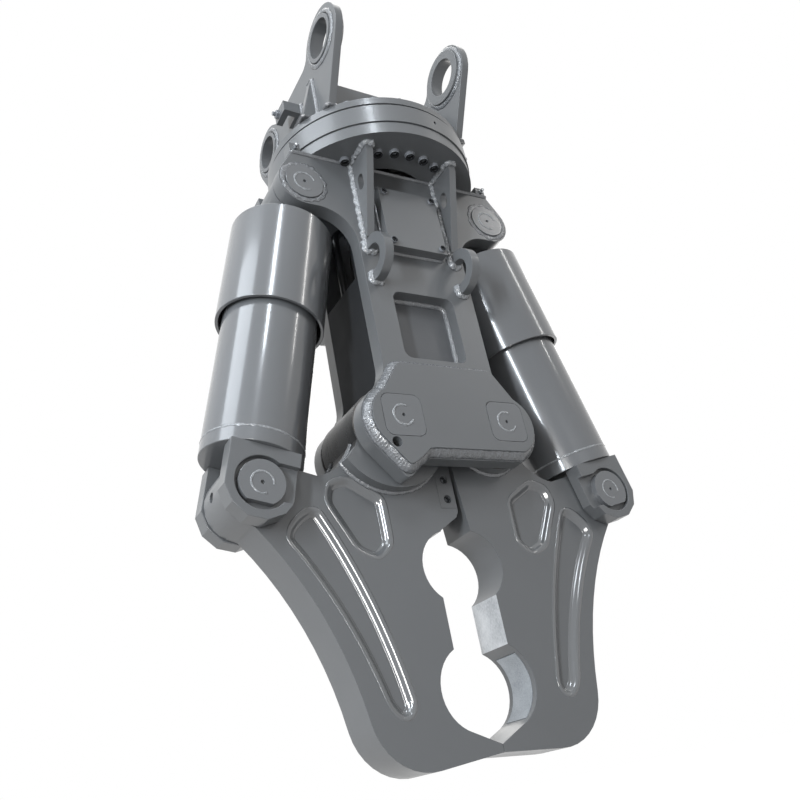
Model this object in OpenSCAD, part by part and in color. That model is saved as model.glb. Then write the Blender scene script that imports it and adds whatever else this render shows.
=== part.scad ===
// Demolition shear: a slewing carrier for an excavator arm, a welded frame, two
// hydraulic cylinders and two jaws. Lengths in millimetres, +Z up along the slew axis,
// X across the tool, Y from its front to its back. The sub-parts are drawn about the
// point midway between the jaw pivots, and tool() moves that frame so that the origin
// of the finished part is the centre of the arm pin bore.

/* [Carrier] */
// Height of the arm pin above the upper flange
arm_pin_rise = 222; // [200:2:250]
// Distance of the arm pin in front of the slew axis
arm_pin_forward = 220; // [200:5:240]
// Height of the link pin above the upper flange
link_pin_rise = 182; // [170:2:220]
// Distance of the link pin behind the slew axis
link_pin_back = 178; // [165:1:195]
// Radius of the arm pin bore
arm_bore_r = 52.5; // [45:0.5:55]
// Radius of the link pin bore
link_bore_r = 47.5; // [40:0.5:50]
// Free width between the bosses of the two ears
ear_gap = 354; // [336:2:366]
// Thickness of an ear plate
ear_t = 22; // [16:1:28]
// Height of the bosses on the inner faces of the ears
boss_in = 10; // [6:1:14]
// Height of the collars on the outer faces of the ears
boss_out = 7; // [4:1:10]
// Wall of the collars round the bores
collar_wall = 12; // [8:1:16]
// Radius of the inner boss round the arm pin bore
arm_boss_r = 78; // [72:1:84]
// Radius of the inner boss round the link pin bore
link_boss_r = 70; // [66:1:76]
// Radius of the ear plate round the arm pin bore
arm_lobe_r = 94; // [90:1:100]
// Radius of the ear plate round the link pin bore
link_lobe_r = 84; // [80:1:90]
// Height of the saddle between the ear lobes, above the arm pin
saddle_rise = 7; // [-10:1:12]
// Half length of the ear plate at its foot
ear_foot = 186; // [180:2:196]
// Distance of the middle of that foot in front of the slew axis
ear_foot_forward = 10; // [6:1:14]
// Thickness of the cross plate between the ears
cross_plate_t = 25; // [16:1:30]
// Distance of the cross plate in front of the slew axis
cross_plate_y = 95; // [80:1:100]
// Depth of the cross plate's upper edge below the saddle
cross_plate_drop = 24; // [22:2:46]

/* [Slewing ring] */
// Radius of both flanges
flange_r = 282; // [275:1:290]
// Thickness of the upper flange
upper_flange_t = 30; // [24:1:36]
// Thickness of the lower flange
lower_flange_t = 34; // [28:1:40]
// Height of the underside of the lower flange, above the jaw pivots
flange_z = 746; // [735:1:765]
// Outer radius of the slewing ring
ring_r = 285.5; // [280:0.5:290]
// Height of the slewing ring
ring_h = 57; // [50:1:64]
// Radius of the ball race
race_r = 237; // [235:0.5:239]
// Radius of a ball
ball_r = 11; // [8:0.5:12]
// Number of balls
ball_count = 48; // [30:1:56]
// Size of a gear tooth, pitch diameter over number of teeth
gear_module = 4; // [3.8:0.1:4.2]
// Teeth inside the inner ring
ring_teeth = 88; // [84:4:92]
// Teeth on the pinion
pinion_teeth = 16; // [16:4:20]
// Radius of the bolt circle under the lower flange
lower_bolt_circle_r = 212; // [211:0.5:214]
// Radius of the bolt circle on the upper flange
upper_bolt_circle_r = 263; // [261:0.5:265]
// Radius of the bolt shanks
bolt_r = 8; // [6:0.5:8]

/* [Frame] */
// Thickness of the front and back plates
plate_t = 40; // [30:1:44]
// Free width between the two plates
plate_gap = 178; // [174:1:190]
// Width of the plates at the waist
waist_w = 310; // [290:2:320]
// Radius of the concave arc under the cylinder pin lobe
shoulder_r = 95; // [85:1:100]
// Radius of the plate lobe round each cylinder pin
pin_lobe_r = 68; // [64:1:72]
// Radius of the plate lobe round each jaw pivot
pivot_lobe_r = 95; // [90:1:98]
// Drop of the centre of that lobe below the jaw pivot
lobe_drop = 6; // [2:1:10]
// Radius of the concave arc between the lobe and the waist
flare_r = 90; // [70:1:100]
// Thickness of the pads over the jaw pivots
pad_t = 23; // [18:1:28]
// Width of the weld seat of the plate all round the pad
weld_seat = 17; // [12:1:20]
// Height of the upper edge of the pads
pad_top_z = 136; // [130:1:142]
// Width of the rectangular window
window_w = 176; // [150:2:184]
// Height of the lower edge of the window
window_low_z = 167; // [165:1:180]
// Height of the upper edge of the window
window_high_z = 355; // [330:1:365]
// Thickness of the inner plates and side webs
web_t = 20; // [14:1:24]
// Height of the upper edge of the side webs
web_top_z = 415; // [400:1:430]
// Width of the access covers
cover_w = 172; // [160:2:190]
// Height of the lower edge of the access covers
cover_low_z = 474; // [470:1:485]
// Height of the upper edge of the access covers
cover_high_z = 660; // [640:2:680]
// Thickness of the access covers
cover_t = 18; // [12:1:24]
// Thickness of the seat under each access cover
seat_t = 13; // [8:1:18]
// Distance of the gussets from the slew axis
gusset_x = 126; // [122:1:136]
// Thickness of the gussets
gusset_t = 20; // [14:1:22]
// Reach of the gussets in front of the plate
gusset_reach = 89; // [70:1:95]
// Height of the lower end of the gussets
gusset_low_z = 502; // [500:2:540]
// Outer radius of the lifting eyes
eye_r = 62; // [54:1:64]
// Radius of the hole of the lifting eyes
eye_hole_r = 34; // [28:1:36]
// Thickness of the lifting eyes
eye_t = 24; // [18:1:28]
// Height of the centre of the lifting eyes
eye_z = 432; // [428:1:434]

/* [Pins] */
// Distance between the two jaw pivots
pivot_spacing = 285; // [280:1:296]
// Radius of the jaw pivot pins
pivot_pin_r = 50; // [42:1:52]
// Distance between the two upper cylinder pins
cyl_pin_spacing = 558; // [550:2:570]
// Height of the upper cylinder pins above the jaw pivots
cyl_pin_z = 651; // [646:1:656]
// Radius of the upper cylinder pins
cyl_pin_r = 45; // [38:1:46]
// Distance of the lower cylinder pins from the slew axis
jaw_pin_x = 468; // [462:1:474]
// Drop of the lower cylinder pins below the jaw pivots
jaw_pin_drop = 145; // [140:1:150]
// Radius of the lower cylinder pins
fork_pin_r = 40; // [34:1:40]
// Running clearance of pins in their bores
running_clear = 0.05; // [0.02:0.01:0.1]
// Radial play of the lower cylinder pin in the jaw, at the opened pivot of the linkage
loop_play = 6; // [6:0.5:8]

/* [Cylinders] */
// Outer radius of the cylinder barrel
barrel_r = 112; // [106:1:114]
// Wall thickness of the barrel
barrel_wall = 20; // [14:1:22]
// Distance from the closed end of the barrel to the jaw pin
fork_root = 83; // [78:1:86]
// Length of the closed barrel
barrel_len = 448; // [440:1:450]
// Thickness of the barrel end
barrel_end_t = 35; // [28:1:45]
// Radius of the piston rod
rod_r = 55; // [50:1:60]
// Outer radius of the guard sleeve
guard_r = 128; // [127:0.5:132]
// Wall thickness of the guard sleeve
guard_wall = 8; // [5:0.5:9]
// Distance from the upper pin to the top of the guard sleeve
guard_drop = 90; // [88:1:96]
// Length of the guard sleeve
guard_len = 285; // [270:5:300]
// Outer radius of the rod eye
rod_eye_r = 66; // [62:1:66]
// Length of the gland in the barrel
gland_len = 52; // [40:1:56]
// Length of the piston
piston_len = 46; // [36:1:60]
// Radius of the fork cheeks round the lower pin
fork_r = 76; // [75:1:82]
// Thickness of one fork cheek
cheek_t = 45; // [36:1:48]
// Depth of the recess round the pin cap
cap_recess = 16; // [10:1:20]
// Radius of the pin caps
cap_r = 50; // [46:1:52]

/* [Jaws] */
// Thickness of the jaw plates
jaw_t = 102; // [92:1:104]
// Depth of the jaw tips below the pivots
jaw_reach = 686; // [670:2:720]
// Thickness of the jaw tip under the lower bite
tip_t = 16; // [12:1:24]
// Half of the gap between the closed jaws at their tips
tip_gap = 0.4; // [0.3:0.1:1]
// Radius of the upper bite
upper_bite_r = 83; // [74:1:86]
// Depth of the centre of the upper bite below the pivots
upper_bite_drop = 316; // [310:1:322]
// Radius of the lower bite
lower_bite_r = 90; // [80:1:94]
// Distance of the tooth face from the centre plane
tooth_x = 70; // [64:1:74]
// Radius of the outer corner at the bottom of the jaw
corner_r = 125; // [110:1:130]
// Distance of the outer corner of the jaw from the centre plane
jaw_half_w = 290; // [280:2:300]
// Radius of the concave outer edge of the jaw
outer_edge_r = 827; // [700:10:900]
// Radius of the jaw round the lower cylinder pin
jaw_ear_r = 74; // [70:1:75]
// Radius of the jaw hubs round the pivots
hub_r = 94; // [86:1:96]
// Radius of the doubler on the left jaw round its pivot
doubler_r = 144; // [130:1:150]
// Depth of the pockets in both faces of the jaws
pocket_depth = 12; // [6:1:16]
// Thickness of the liner in the lower bite
liner_t = 14; // [10:1:18]

/* [Hidden] */
$fn = 96;
grey = [0.44, 0.45, 0.46];
dark = [0.13, 0.13, 0.14];
steel = [0.72, 0.73, 0.74];
bronze = [0.68, 0.52, 0.28];
eps = 1;

// Levels of the flanges and the slewing ring
lower_flange_top = flange_z + lower_flange_t;
ring_gap = 1.5;
upper_flange_low = lower_flange_top + ring_h;
upper_flange_top = upper_flange_low + upper_flange_t;
arm_pin_height = upper_flange_top + arm_pin_rise;
link_pin_height = upper_flange_top + link_pin_rise;
race_z = lower_flange_top + ring_h / 2;
ring_split = 1;
ball_clear = 0.2;
groove_h = 5;
groove_d = 7;
flange_hole_r = 150;
swivel_r = 62;
swivel_hole_r = 70;
spool_r = 40;
swivel_top = upper_flange_top + 60;
swivel_lid_t = 10;
spool_play = 10;
swivel_low = flange_z - 40;
swivel_port_r = 11;
gear_h = 42;
ring_root_r = gear_module * ring_teeth / 2 + 1.15 * gear_module;
ring_tip_r = gear_module * ring_teeth / 2 - 0.8 * gear_module;
pinion_pitch_r = gear_module * pinion_teeth / 2;
pinion_root_r = pinion_pitch_r - 1.15 * gear_module;
pinion_tip_r = pinion_pitch_r + 0.8 * gear_module;
pinion_y = gear_module * (ring_teeth - pinion_teeth) / 2;
tooth_half = 0.62 * gear_module;
tooth_lean = tan(20);
motor_r = 58;
motor_h = 95;
motor_shaft_r = 16;
shaft_in_motor = 46;
motor_port_h = 40;
motor_flange_h = 22;
bolt_head_r = 1.5 * bolt_r;

// Levels across the tool
plate_in = plate_gap / 2;
plate_out = plate_in + plate_t;
pad_out = plate_out + pad_t;
pivot_x = pivot_spacing / 2;
cyl_pin_x = cyl_pin_spacing / 2;
waist_x = waist_w / 2;
washer_t = 5;
hub_out = plate_in - washer_t - 0.5;
jaw_y = jaw_t / 2;
fork_gap = jaw_t + 8;
fork_out = fork_gap / 2 + cheek_t;
ear_in = ear_gap / 2 + boss_in;
ear_out = ear_in + ear_t;
collar_out = ear_out + boss_out;

// Cylinder axis
cyl_tilt = atan2(jaw_pin_x - cyl_pin_x, cyl_pin_z + jaw_pin_drop);
cyl_len = norm([jaw_pin_x - cyl_pin_x, cyl_pin_z + jaw_pin_drop]);
barrel_bottom = cyl_len - fork_root;
barrel_top = barrel_bottom - barrel_len;
bush_wall = 7;
grease_hole_r = 4;
neck_r = 60;
guard_lid_t = 12;
neck_end = guard_drop + guard_lid_t;
spigot_r = rod_r - 12;
spigot_len = 10;
spigot_play = 2;
eye_play = 4;
seal_h = 6;
piston_top = barrel_top + gland_len + 12;
rod_end = piston_top + piston_len;

// Levels of the jaw
tip_z = -jaw_reach;
bottom_z = tip_z - tip_t;
lower_bite_x = 30;
lower_bite_z = tip_z + 113;
upper_bite_x = 22;
upper_bite_z = -upper_bite_drop;
throat_low_x = 40;
throat_top_x = 26;
throat_top_z = -64;
flap_x = 18;
flap_low_z = -202;
flap_top_z = -60;
blade_x = -26;
blade_t = 40;
pivot_bush_wall = 12;
lock_hole_r = 12;
lock_hole_x = -172;
lock_hole_z = -67;

// Arc of radius |r| from point a to point b; it turns left where r is positive
function arc(a, b, r, n = 8) =
    let (d = b - a, l = norm(d), h = sqrt(r * r - l * l / 4) * sign(r))
    let (c = (a + b) / 2 + h * [-d[1], d[0]] / l)
    let (a0 = atan2(a[1] - c[1], a[0] - c[0]), a1 = atan2(b[1] - c[1], b[0] - c[0]))
    let (turn = r > 0 ? (a1 - a0 + 720) % 360 : -((a0 - a1 + 720) % 360))
    [for (i = [0:n]) c + abs(r) * [cos(a0 + turn * i / n), sin(a0 + turn * i / n)]];

// Arc round a centre between two angles
function sweep(c, r, a0, a1, n = 10) =
    [for (i = [0:n]) c + r * [cos(a0 + (a1 - a0) * i / n), sin(a0 + (a1 - a0) * i / n)]];

// Angle at which a line from point p touches the circle; side picks one of two
function touch(p, c, r, side) =
    atan2(p[1] - c[1], p[0] - c[0]) + side * acos(r / norm(p - c));

// Polygon whose corner number i is rounded by radius q[i][2]
function rounded(q, n = 5) = [
    for (i = [0:len(q) - 1])
        let (p0 = q[(i + len(q) - 1) % len(q)], p1 = q[i], p2 = q[(i + 1) % len(q)])
        let (a = [p0[0], p0[1]], b = [p1[0], p1[1]], c = [p2[0], p2[1]], r = max(p1[2], 0.01))
        let (u = (a - b) / norm(a - b), v = (c - b) / norm(c - b), half = acos(u * v) / 2)
        let (m = b + (u + v) / norm(u + v) * r / sin(half), t = r / tan(half))
        let (s = b + u * t, e = b + v * t)
        let (a0 = atan2(s[1] - m[1], s[0] - m[0]), a1 = atan2(e[1] - m[1], e[0] - m[0]))
        let (turn = ((a1 - a0 + 540) % 360) - 180)
        for (k = [0:n]) m + r * [cos(a0 + turn * k / n), sin(a0 + turn * k / n)]
];

// Gear outline: teeth between the radii, half width w at the pitch radius
function gear(count, r_root, r_tip, r_pitch, w, phase) = [
    for (i = [0:count - 1])
        let (a = 360 * i / count + phase, k = sign(r_tip - r_root))
        let (wr = w + abs(r_pitch - r_root) * tooth_lean, wt = w - abs(r_tip - r_pitch) * tooth_lean)
        for (p = [[r_root, -wr], [r_tip, -wt], [r_tip, wt], [r_root, wr]])
            p[0] * [cos(a + p[1] / p[0] * 180 / PI), sin(a + p[1] / p[0] * 180 / PI)]
];

// Moves the pivot frame to the part's own frame
module tool() translate([0, arm_pin_forward, -arm_pin_height]) children();

// Right side as drawn, left side mirrored
module on_side(side) if (side > 0) children(); else mirror([1, 0, 0]) children();

// Drawing in XZ, pulled along Y from y0 to y1
module slab(y0, y1) translate([0, y1, 0]) rotate([90, 0, 0]) linear_extrude(y1 - y0) children();

// Cylinder along Y
module rod_y(r, y0, y1) translate([0, y1, 0]) rotate([90, 0, 0]) cylinder(r = r, h = y1 - y0);

// Cylinder along X
module rod_x(r, x0, x1) translate([x0, 0, 0]) rotate([0, 90, 0]) cylinder(r = r, h = x1 - x0);

// Frame of the right cylinder: origin at the upper pin, +Z down the cylinder
module on_cylinder(side) on_side(side)
    translate([cyl_pin_x, 0, cyl_pin_z]) rotate([0, 180 - cyl_tilt, 0]) children();

// Socket head bolt, head at the origin, shank along +Z
module socket_bolt(r, length) difference() {
    union() {
        translate([0, 0, -2 * r]) cylinder(r = 1.5 * r, h = 2 * r);
        cylinder(r = r, h = length);
    }
    translate([0, 0, -2 * r - eps]) cylinder(r = 0.8 * r, h = r + eps, $fn = 6);
}

// Annular disc
module ring(r_out, r_in, h) difference() {
    cylinder(r = r_out, h = h);
    translate([0, 0, -eps]) cylinder(r = r_in, h = h + 2 * eps);
}

// Outline of a carrier ear in YZ, from its front foot over the two lobes
arm_at = [-arm_pin_forward, arm_pin_height];
link_at = [link_pin_back, link_pin_height];
saddle_fillet = 40;
ear_front_foot = [-ear_foot - ear_foot_forward, upper_flange_top];
ear_back_foot = [ear_foot - ear_foot_forward, upper_flange_top];
saddle_z = arm_pin_height + saddle_rise;
arm_fillet_dz = saddle_z + saddle_fillet - arm_pin_height;
link_fillet_dz = saddle_z + saddle_fillet - link_pin_height;
arm_fillet_dy = sqrt(pow(arm_lobe_r + saddle_fillet, 2) - arm_fillet_dz * arm_fillet_dz);
link_fillet_dy = sqrt(pow(link_lobe_r + saddle_fillet, 2) - link_fillet_dz * link_fillet_dz);
arm_fillet_angle = atan2(arm_fillet_dz, arm_fillet_dy);
link_fillet_angle = 180 - atan2(link_fillet_dz, link_fillet_dy);
ear_outline = concat(
    [ear_front_foot],
    sweep(arm_at, arm_lobe_r, touch(ear_front_foot, arm_at, arm_lobe_r, -1) + 360,
        arm_fillet_angle, 16),
    sweep(arm_at + [arm_fillet_dy, arm_fillet_dz], saddle_fillet, arm_fillet_angle - 180, -90, 4),
    sweep(link_at + [-link_fillet_dy, link_fillet_dz], saddle_fillet, -90,
        link_fillet_angle - 180, 5),
    sweep(link_at, link_lobe_r, link_fillet_angle,
        touch(ear_back_foot, link_at, link_lobe_r, 1), 12),
    [ear_back_foot]
);

// Inner boss and outer collar of one bore
module ear_bosses(boss_r, bore_r) {
    rod_x(boss_r, ear_gap / 2, ear_out);
    rod_x(bore_r + collar_wall, ear_in, collar_out);
}

module carrier_ear(side) {
    color(grey) tool() on_side(side) difference() {
        union() {
            translate([ear_in, 0, 0]) rotate([90, 0, 90]) linear_extrude(ear_t) polygon(ear_outline);
            translate([0, arm_at[0], arm_at[1]]) ear_bosses(arm_boss_r, arm_bore_r);
            translate([0, link_at[0], link_at[1]]) ear_bosses(link_boss_r, link_bore_r);
        }
        translate([0, arm_at[0], arm_at[1]]) rod_x(arm_bore_r, 0, 2 * collar_out);
        translate([0, link_at[0], link_at[1]]) rod_x(link_bore_r, 0, 2 * collar_out);
    }
}

module carrier_flange() {
    color(grey) tool() difference() {
        translate([0, 0, upper_flange_low]) cylinder(r = flange_r, h = upper_flange_t, $fn = 128);
        translate([0, 0, upper_flange_low - eps])
            ring(ring_r + eps, flange_r - groove_d, groove_h + eps);
        translate([0, 0, upper_flange_low - eps])
            cylinder(r = swivel_hole_r, h = upper_flange_t + 2 * eps);
        translate([0, pinion_y, upper_flange_low - eps])
            cylinder(r = motor_shaft_r + 4, h = upper_flange_t + 2 * eps);
        outer_bolt_places() translate([0, 0, -upper_flange_t - eps])
            cylinder(r = bolt_r + 0.5, h = upper_flange_t + 2 * eps, $fn = 24);
    }
}

hose_hole_r = 38;
hose_hole_z = upper_flange_top + 90;
module ear_cross_plate() {
    color(grey) tool() difference() {
        translate([-ear_in, -cross_plate_y - cross_plate_t / 2, upper_flange_top])
            cube([2 * ear_in, cross_plate_t, saddle_z - cross_plate_drop - upper_flange_top]);
        translate([0, 0, hose_hole_z]) rod_y(hose_hole_r, -cross_plate_y - 40, -cross_plate_y + 40);
    }
}

// Triangular ribs on the outer faces of both ears
rib_y = 130;
rib_t = 22;
rib_reach = 46;
rib_h = 150;
rib_lip = 12;
module ear_ribs() {
    color(grey) tool() for (side = [-1, 1]) on_side(side) translate([ear_out, 0, upper_flange_top])
        slab(-rib_y - rib_t / 2, -rib_y + rib_t / 2)
            polygon([[0, 0], [rib_reach, 0], [rib_reach, rib_lip], [rib_lip / 2, rib_h], [0, rib_h]]);
}

// Forked block on the left ear that holds the arm pin's flag, with its bolt
stop_z = upper_flange_top + 103;
stop_h = 34;
stop_y0 = -62;
stop_y1 = -2;
stop_leg = 18;
stop_slot = 20;
stop_bolt_r = 7;
stop_out = ear_out + 2 * stop_leg + stop_slot;
stop_bolt_y = (stop_y0 + stop_y1) / 2 + 8;
stop_head_r = 12;
module pin_stop_block() {
    color(grey) tool() mirror([1, 0, 0]) difference() {
        translate([ear_out, stop_y0, stop_z]) cube([stop_out - ear_out, stop_y1 - stop_y0, stop_h]);
        translate([ear_out + stop_leg, stop_y0 + stop_leg, stop_z - eps])
            cube([stop_slot, stop_y1 - stop_y0, stop_h + 2 * eps]);
        translate([0, stop_bolt_y, stop_z + stop_h / 2])
            rod_x(stop_bolt_r, stop_out - stop_leg - eps, stop_out + eps);
    }
}

module pin_stop_bolt() {
    color(dark) tool() mirror([1, 0, 0])
        translate([0, stop_bolt_y, stop_z + stop_h / 2]) union() {
            rod_x(stop_bolt_r, stop_out - stop_leg - 4, stop_out + 4);
            rod_x(stop_head_r, stop_out, stop_out + 9, $fn = 6);
            rod_x(6, stop_out, stop_out + 18);
        }
}

// Places of the bolts that hold the outer ring, clear of the ears
outer_bolt_count = 24;
outer_bolt_depth = 38;
module outer_bolt_places() for (i = [0:outer_bolt_count - 1]) {
    a = 360 * (i + 0.5) / outer_bolt_count;
    x = abs(upper_bolt_circle_r * cos(a));
    if (x < ear_in - bolt_head_r - 2 || x > ear_out + bolt_head_r + rib_reach / 4)
        rotate([0, 0, a]) translate([upper_bolt_circle_r, 0, upper_flange_top]) children();
}

// Places of the bolts under the lower flange, clear of plates, webs and gussets
inner_bolt_depth = 34;
inner_bolt_angles = [0, 12, 24, 48, 72, 84, 96, 108, 132, 156, 168, 180];
module inner_bolt_places() for (a = inner_bolt_angles, s = [-1, 1])
    if (!(s < 0 && (a == 0 || a == 180)))
        rotate([0, 0, -90 + s * a]) translate([lower_bolt_circle_r, 0, flange_z]) children();

ring_grease_at = [-79, 41, 161];
ring_grease_r = 5;
module slew_outer_ring() {
    color(grey) tool() difference() {
        translate([0, 0, lower_flange_top + ring_gap])
            ring(ring_r, race_r + ring_split, ring_h - ring_gap, $fn = 128);
        race_cut();
        outer_bolt_places() translate([0, 0, -upper_flange_t - outer_bolt_depth - 2])
            cylinder(r = bolt_r, h = upper_flange_t + outer_bolt_depth, $fn = 24);
        for (a = ring_grease_at) rotate([0, 0, a]) translate([0, 0, race_z + 2])
            rod_x(ring_grease_r, ring_r - 12, ring_r + 5);
    }
}

module race_cut() translate([0, 0, race_z]) rotate_extrude($fn = 128)
    translate([race_r, 0]) circle(r = ball_r + ball_clear, $fn = 32);

module outer_ring_bolts() {
    color(dark) tool() outer_bolt_places() rotate([180, 0, 0]) 
        socket_bolt(bolt_r, upper_flange_t + outer_bolt_depth, $fn = 24);
}

module slew_inner_ring() {
    color(steel) tool() difference() {
        translate([0, 0, lower_flange_top])
            cylinder(r = race_r - ring_split, h = ring_h - 2 * ring_gap, $fn = 128);
        translate([0, 0, lower_flange_top - eps]) linear_extrude(ring_h + 2 * eps)
            polygon(gear(ring_teeth, ring_root_r, ring_tip_r, gear_module * ring_teeth / 2, tooth_half, 0));
        race_cut();
        inner_bolt_places() translate([0, 0, lower_flange_t - eps])
            cylinder(r = bolt_r, h = inner_bolt_depth + 5, $fn = 24);
    }
}

module inner_ring_bolts() {
    color(dark) tool() inner_bolt_places() socket_bolt(bolt_r, lower_flange_t + inner_bolt_depth, $fn = 24);
}

module slew_balls() {
    color(steel) tool() for (i = [0:ball_count - 1]) rotate([0, 0, 360 * (i + 0.5) / ball_count])
        translate([race_r, 0, race_z]) sphere(r = ball_r, $fn = 32);
}

module slew_motor() {
    color(dark) tool() translate([0, pinion_y, upper_flange_top]) difference() {
        union() {
            translate([-motor_r - 8, -motor_r - 8, 0])
                cube([2 * motor_r + 16, 2 * motor_r + 16, motor_flange_h]);
            cylinder(r = motor_r, h = motor_h);
            translate([-22, 0, motor_flange_h + 20]) cube([44, motor_r + 16, motor_port_h]);
        }
        translate([0, 0, -eps]) cylinder(r = motor_shaft_r + running_clear, h = shaft_in_motor + 6);
    }
}

module slew_pinion() {
    phase = 180 / pinion_teeth;
    low = lower_flange_top + 6;
    color(steel) tool() translate([0, pinion_y, 0]) union() {
        translate([0, 0, low]) linear_extrude(gear_h)
            polygon(gear(pinion_teeth, pinion_root_r, pinion_tip_r, pinion_pitch_r, tooth_half, 90 + phase));
        translate([0, 0, low]) cylinder(r = motor_shaft_r, h = upper_flange_top - low + shaft_in_motor);
    }
}

module swivel_housing() {
    color(dark) tool() difference() {
        union() {
            translate([0, 0, swivel_low]) cylinder(r = swivel_r, h = swivel_top - swivel_low);
            translate([0, 0, upper_flange_top]) cylinder(r = swivel_hole_r + 5, h = 16);
        }
        translate([0, 0, swivel_low - eps])
            cylinder(r = spool_r + running_clear, h = swivel_top - swivel_low - swivel_lid_t);
        for (a = [0, 90, 180, 270]) rotate([0, 0, a]) translate([0, 0, swivel_top - 30])
            rod_x(swivel_port_r, swivel_r - 16, swivel_r + 2);
    }
}

// Spool of the swivel on its manifold, which is held between the two plates
manifold_w = 110;
manifold_h = 44;
manifold_drop = 100;
manifold_z = flange_z - manifold_drop;
module swivel_spool() {
    color(steel) tool() union() {
        translate([0, 0, manifold_z])
            cylinder(r = spool_r, h = swivel_top - swivel_lid_t - spool_play - manifold_z);
        translate([-manifold_w / 2, -plate_in, manifold_z]) cube([manifold_w, plate_gap, manifold_h]);
    }
}

// Two pressure lines on each side, from the manifold down to nuts on the top inner plate
line_r = 11;
line_bend_r = 42;
line_y = 42;
line_nut_r = 19;
line_nut_h = 22;
line_to_web = 16;
module hydraulic_lines() {
    bend_x = waist_x - web_t - line_to_web - line_bend_r;
    nut_x = manifold_w / 2;
    line_z = manifold_z + manifold_h / 2;
    color(dark) tool() for (side = [-1, 1], y = [-line_y, line_y]) on_side(side)
        translate([0, y, 0]) union() {
            translate([0, 0, line_z]) rod_x(line_nut_r, nut_x, nut_x + line_nut_h, $fn = 6);
            translate([0, 0, line_z]) rod_x(line_r, nut_x, bend_x, $fn = 24);
            translate([bend_x, 0, line_z - line_bend_r]) rotate([90, 0, 0])
                rotate_extrude(angle = 90, $fn = 48)
                    translate([line_bend_r, 0]) circle(r = line_r, $fn = 24);
            translate([bend_x + line_bend_r, 0, web_top_z]) union() {
                cylinder(r = line_r, h = line_z - line_bend_r - web_top_z);
                cylinder(r = line_nut_r, h = line_nut_h, $fn = 6);
            }
        }
}

module lower_flange() {
    color(grey) tool() difference() {
        translate([0, 0, flange_z]) cylinder(r = flange_r, h = lower_flange_t, $fn = 128);
        translate([0, 0, flange_z - eps]) cylinder(r = flange_hole_r, h = lower_flange_t + 2 * eps);
        inner_bolt_places() translate([0, 0, -eps])
            cylinder(r = bolt_r + 0.5, h = lower_flange_t + 2 * eps, $fn = 24);
    }
}

// Right side of the frame plates, from the right pivot lobe up to the lower flange
lobe_at = [pivot_x, -lobe_drop];
flare_at = [waist_x + flare_r,
    sqrt(pow(pivot_lobe_r + flare_r, 2) - pow(waist_x + flare_r - pivot_x, 2)) - lobe_drop];
flare_angle = atan2(flare_at[1] + lobe_drop, flare_at[0] - pivot_x);
pad_low_z = -77;
shoulder_x = 300;
shoulder_touch = touch([shoulder_x, flange_z], [cyl_pin_x, cyl_pin_z], pin_lobe_r, -1);
shoulder_low = cyl_pin_z - pin_lobe_r;
plate_side = concat(
    sweep(flare_at, flare_r, flare_angle + 180, 180, 6),
    sweep([waist_x + shoulder_r, shoulder_low - shoulder_r], shoulder_r, 180, 90, 8),
    sweep([cyl_pin_x, cyl_pin_z], pin_lobe_r, -90, shoulder_touch, 10),
    [[shoulder_x, flange_z]]
);

// Corner with the lock pin hole, and the step beside it, as drawn on the pad
pad_corner = [-148, -118];
pad_step = [-94, pad_low_z];

// Lower edge of plate or pad, from the left lobe past the corner to the right lobe
function low_edge(grow) =
    let (r = pivot_lobe_r - weld_seat + grow, left = [-lobe_at[0], lobe_at[1]])
    let (corner = pad_corner + grow * [-0.1, -1.3], a = touch(corner, left, r, -1))
    let (low = asin((pad_low_z - grow - lobe_at[1]) / r))
    concat(
        sweep(left, r, 180 - (grow > 0 ? flare_angle : 62), a > 0 ? a : a + 360, 12),
        [corner + [-5, 5], corner + [3, 0], corner + [14, 4]],
        [pad_step + [-12, -16 - grow], pad_step + [4, -2 - grow], pad_step + [18, -grow]],
        sweep(lobe_at, r, low, grow > 0 ? flare_angle : 62, 12)
    );
plate_outline = concat(
    low_edge(weld_seat),
    plate_side,
    [for (i = [len(plate_side) - 1:-1:0]) [-plate_side[i][0], plate_side[i][1]]]
);

module frame_plate_2d() {
    difference() {
        polygon(plate_outline);
        for (s = [-1, 1]) {
            translate([s * pivot_x, 0]) circle(r = pivot_pin_r + running_clear);
            translate([s * cyl_pin_x, cyl_pin_z]) circle(r = cyl_pin_r + running_clear);
        }
        polygon(rounded([for (p = [[-1, 0], [1, 0], [1, 1], [-1, 1]])
            [p[0] * window_w / 2, p[1] == 0 ? window_low_z : window_high_z, 22]]));
        polygon(rounded([for (p = [[-1, 0], [1, 0], [1, 1], [-1, 1]])
            [p[0] * (cover_w / 2 - seat_side),
                p[1] == 0 ? cover_low_z + seat_end : cover_high_z - seat_end, 12]]));
        translate([lock_hole_x, lock_hole_z]) circle(r = lock_hole_r, $fn = 32);
    }
}

module front_plate() {
    color(grey) tool() slab(-plate_out, -plate_in) frame_plate_2d();
}

module back_plate() {
    color(grey) tool() slab(plate_in, plate_out) frame_plate_2d();
}

// Side webs between the two plates, flush with their edges at the waist
floor_z = hub_r + 18;
module side_webs() {
    color(grey) tool() for (side = [-1, 1]) on_side(side)
        translate([waist_x - web_t, -plate_in, floor_z]) cube([web_t, plate_gap, web_top_z - floor_z]);
}

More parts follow.
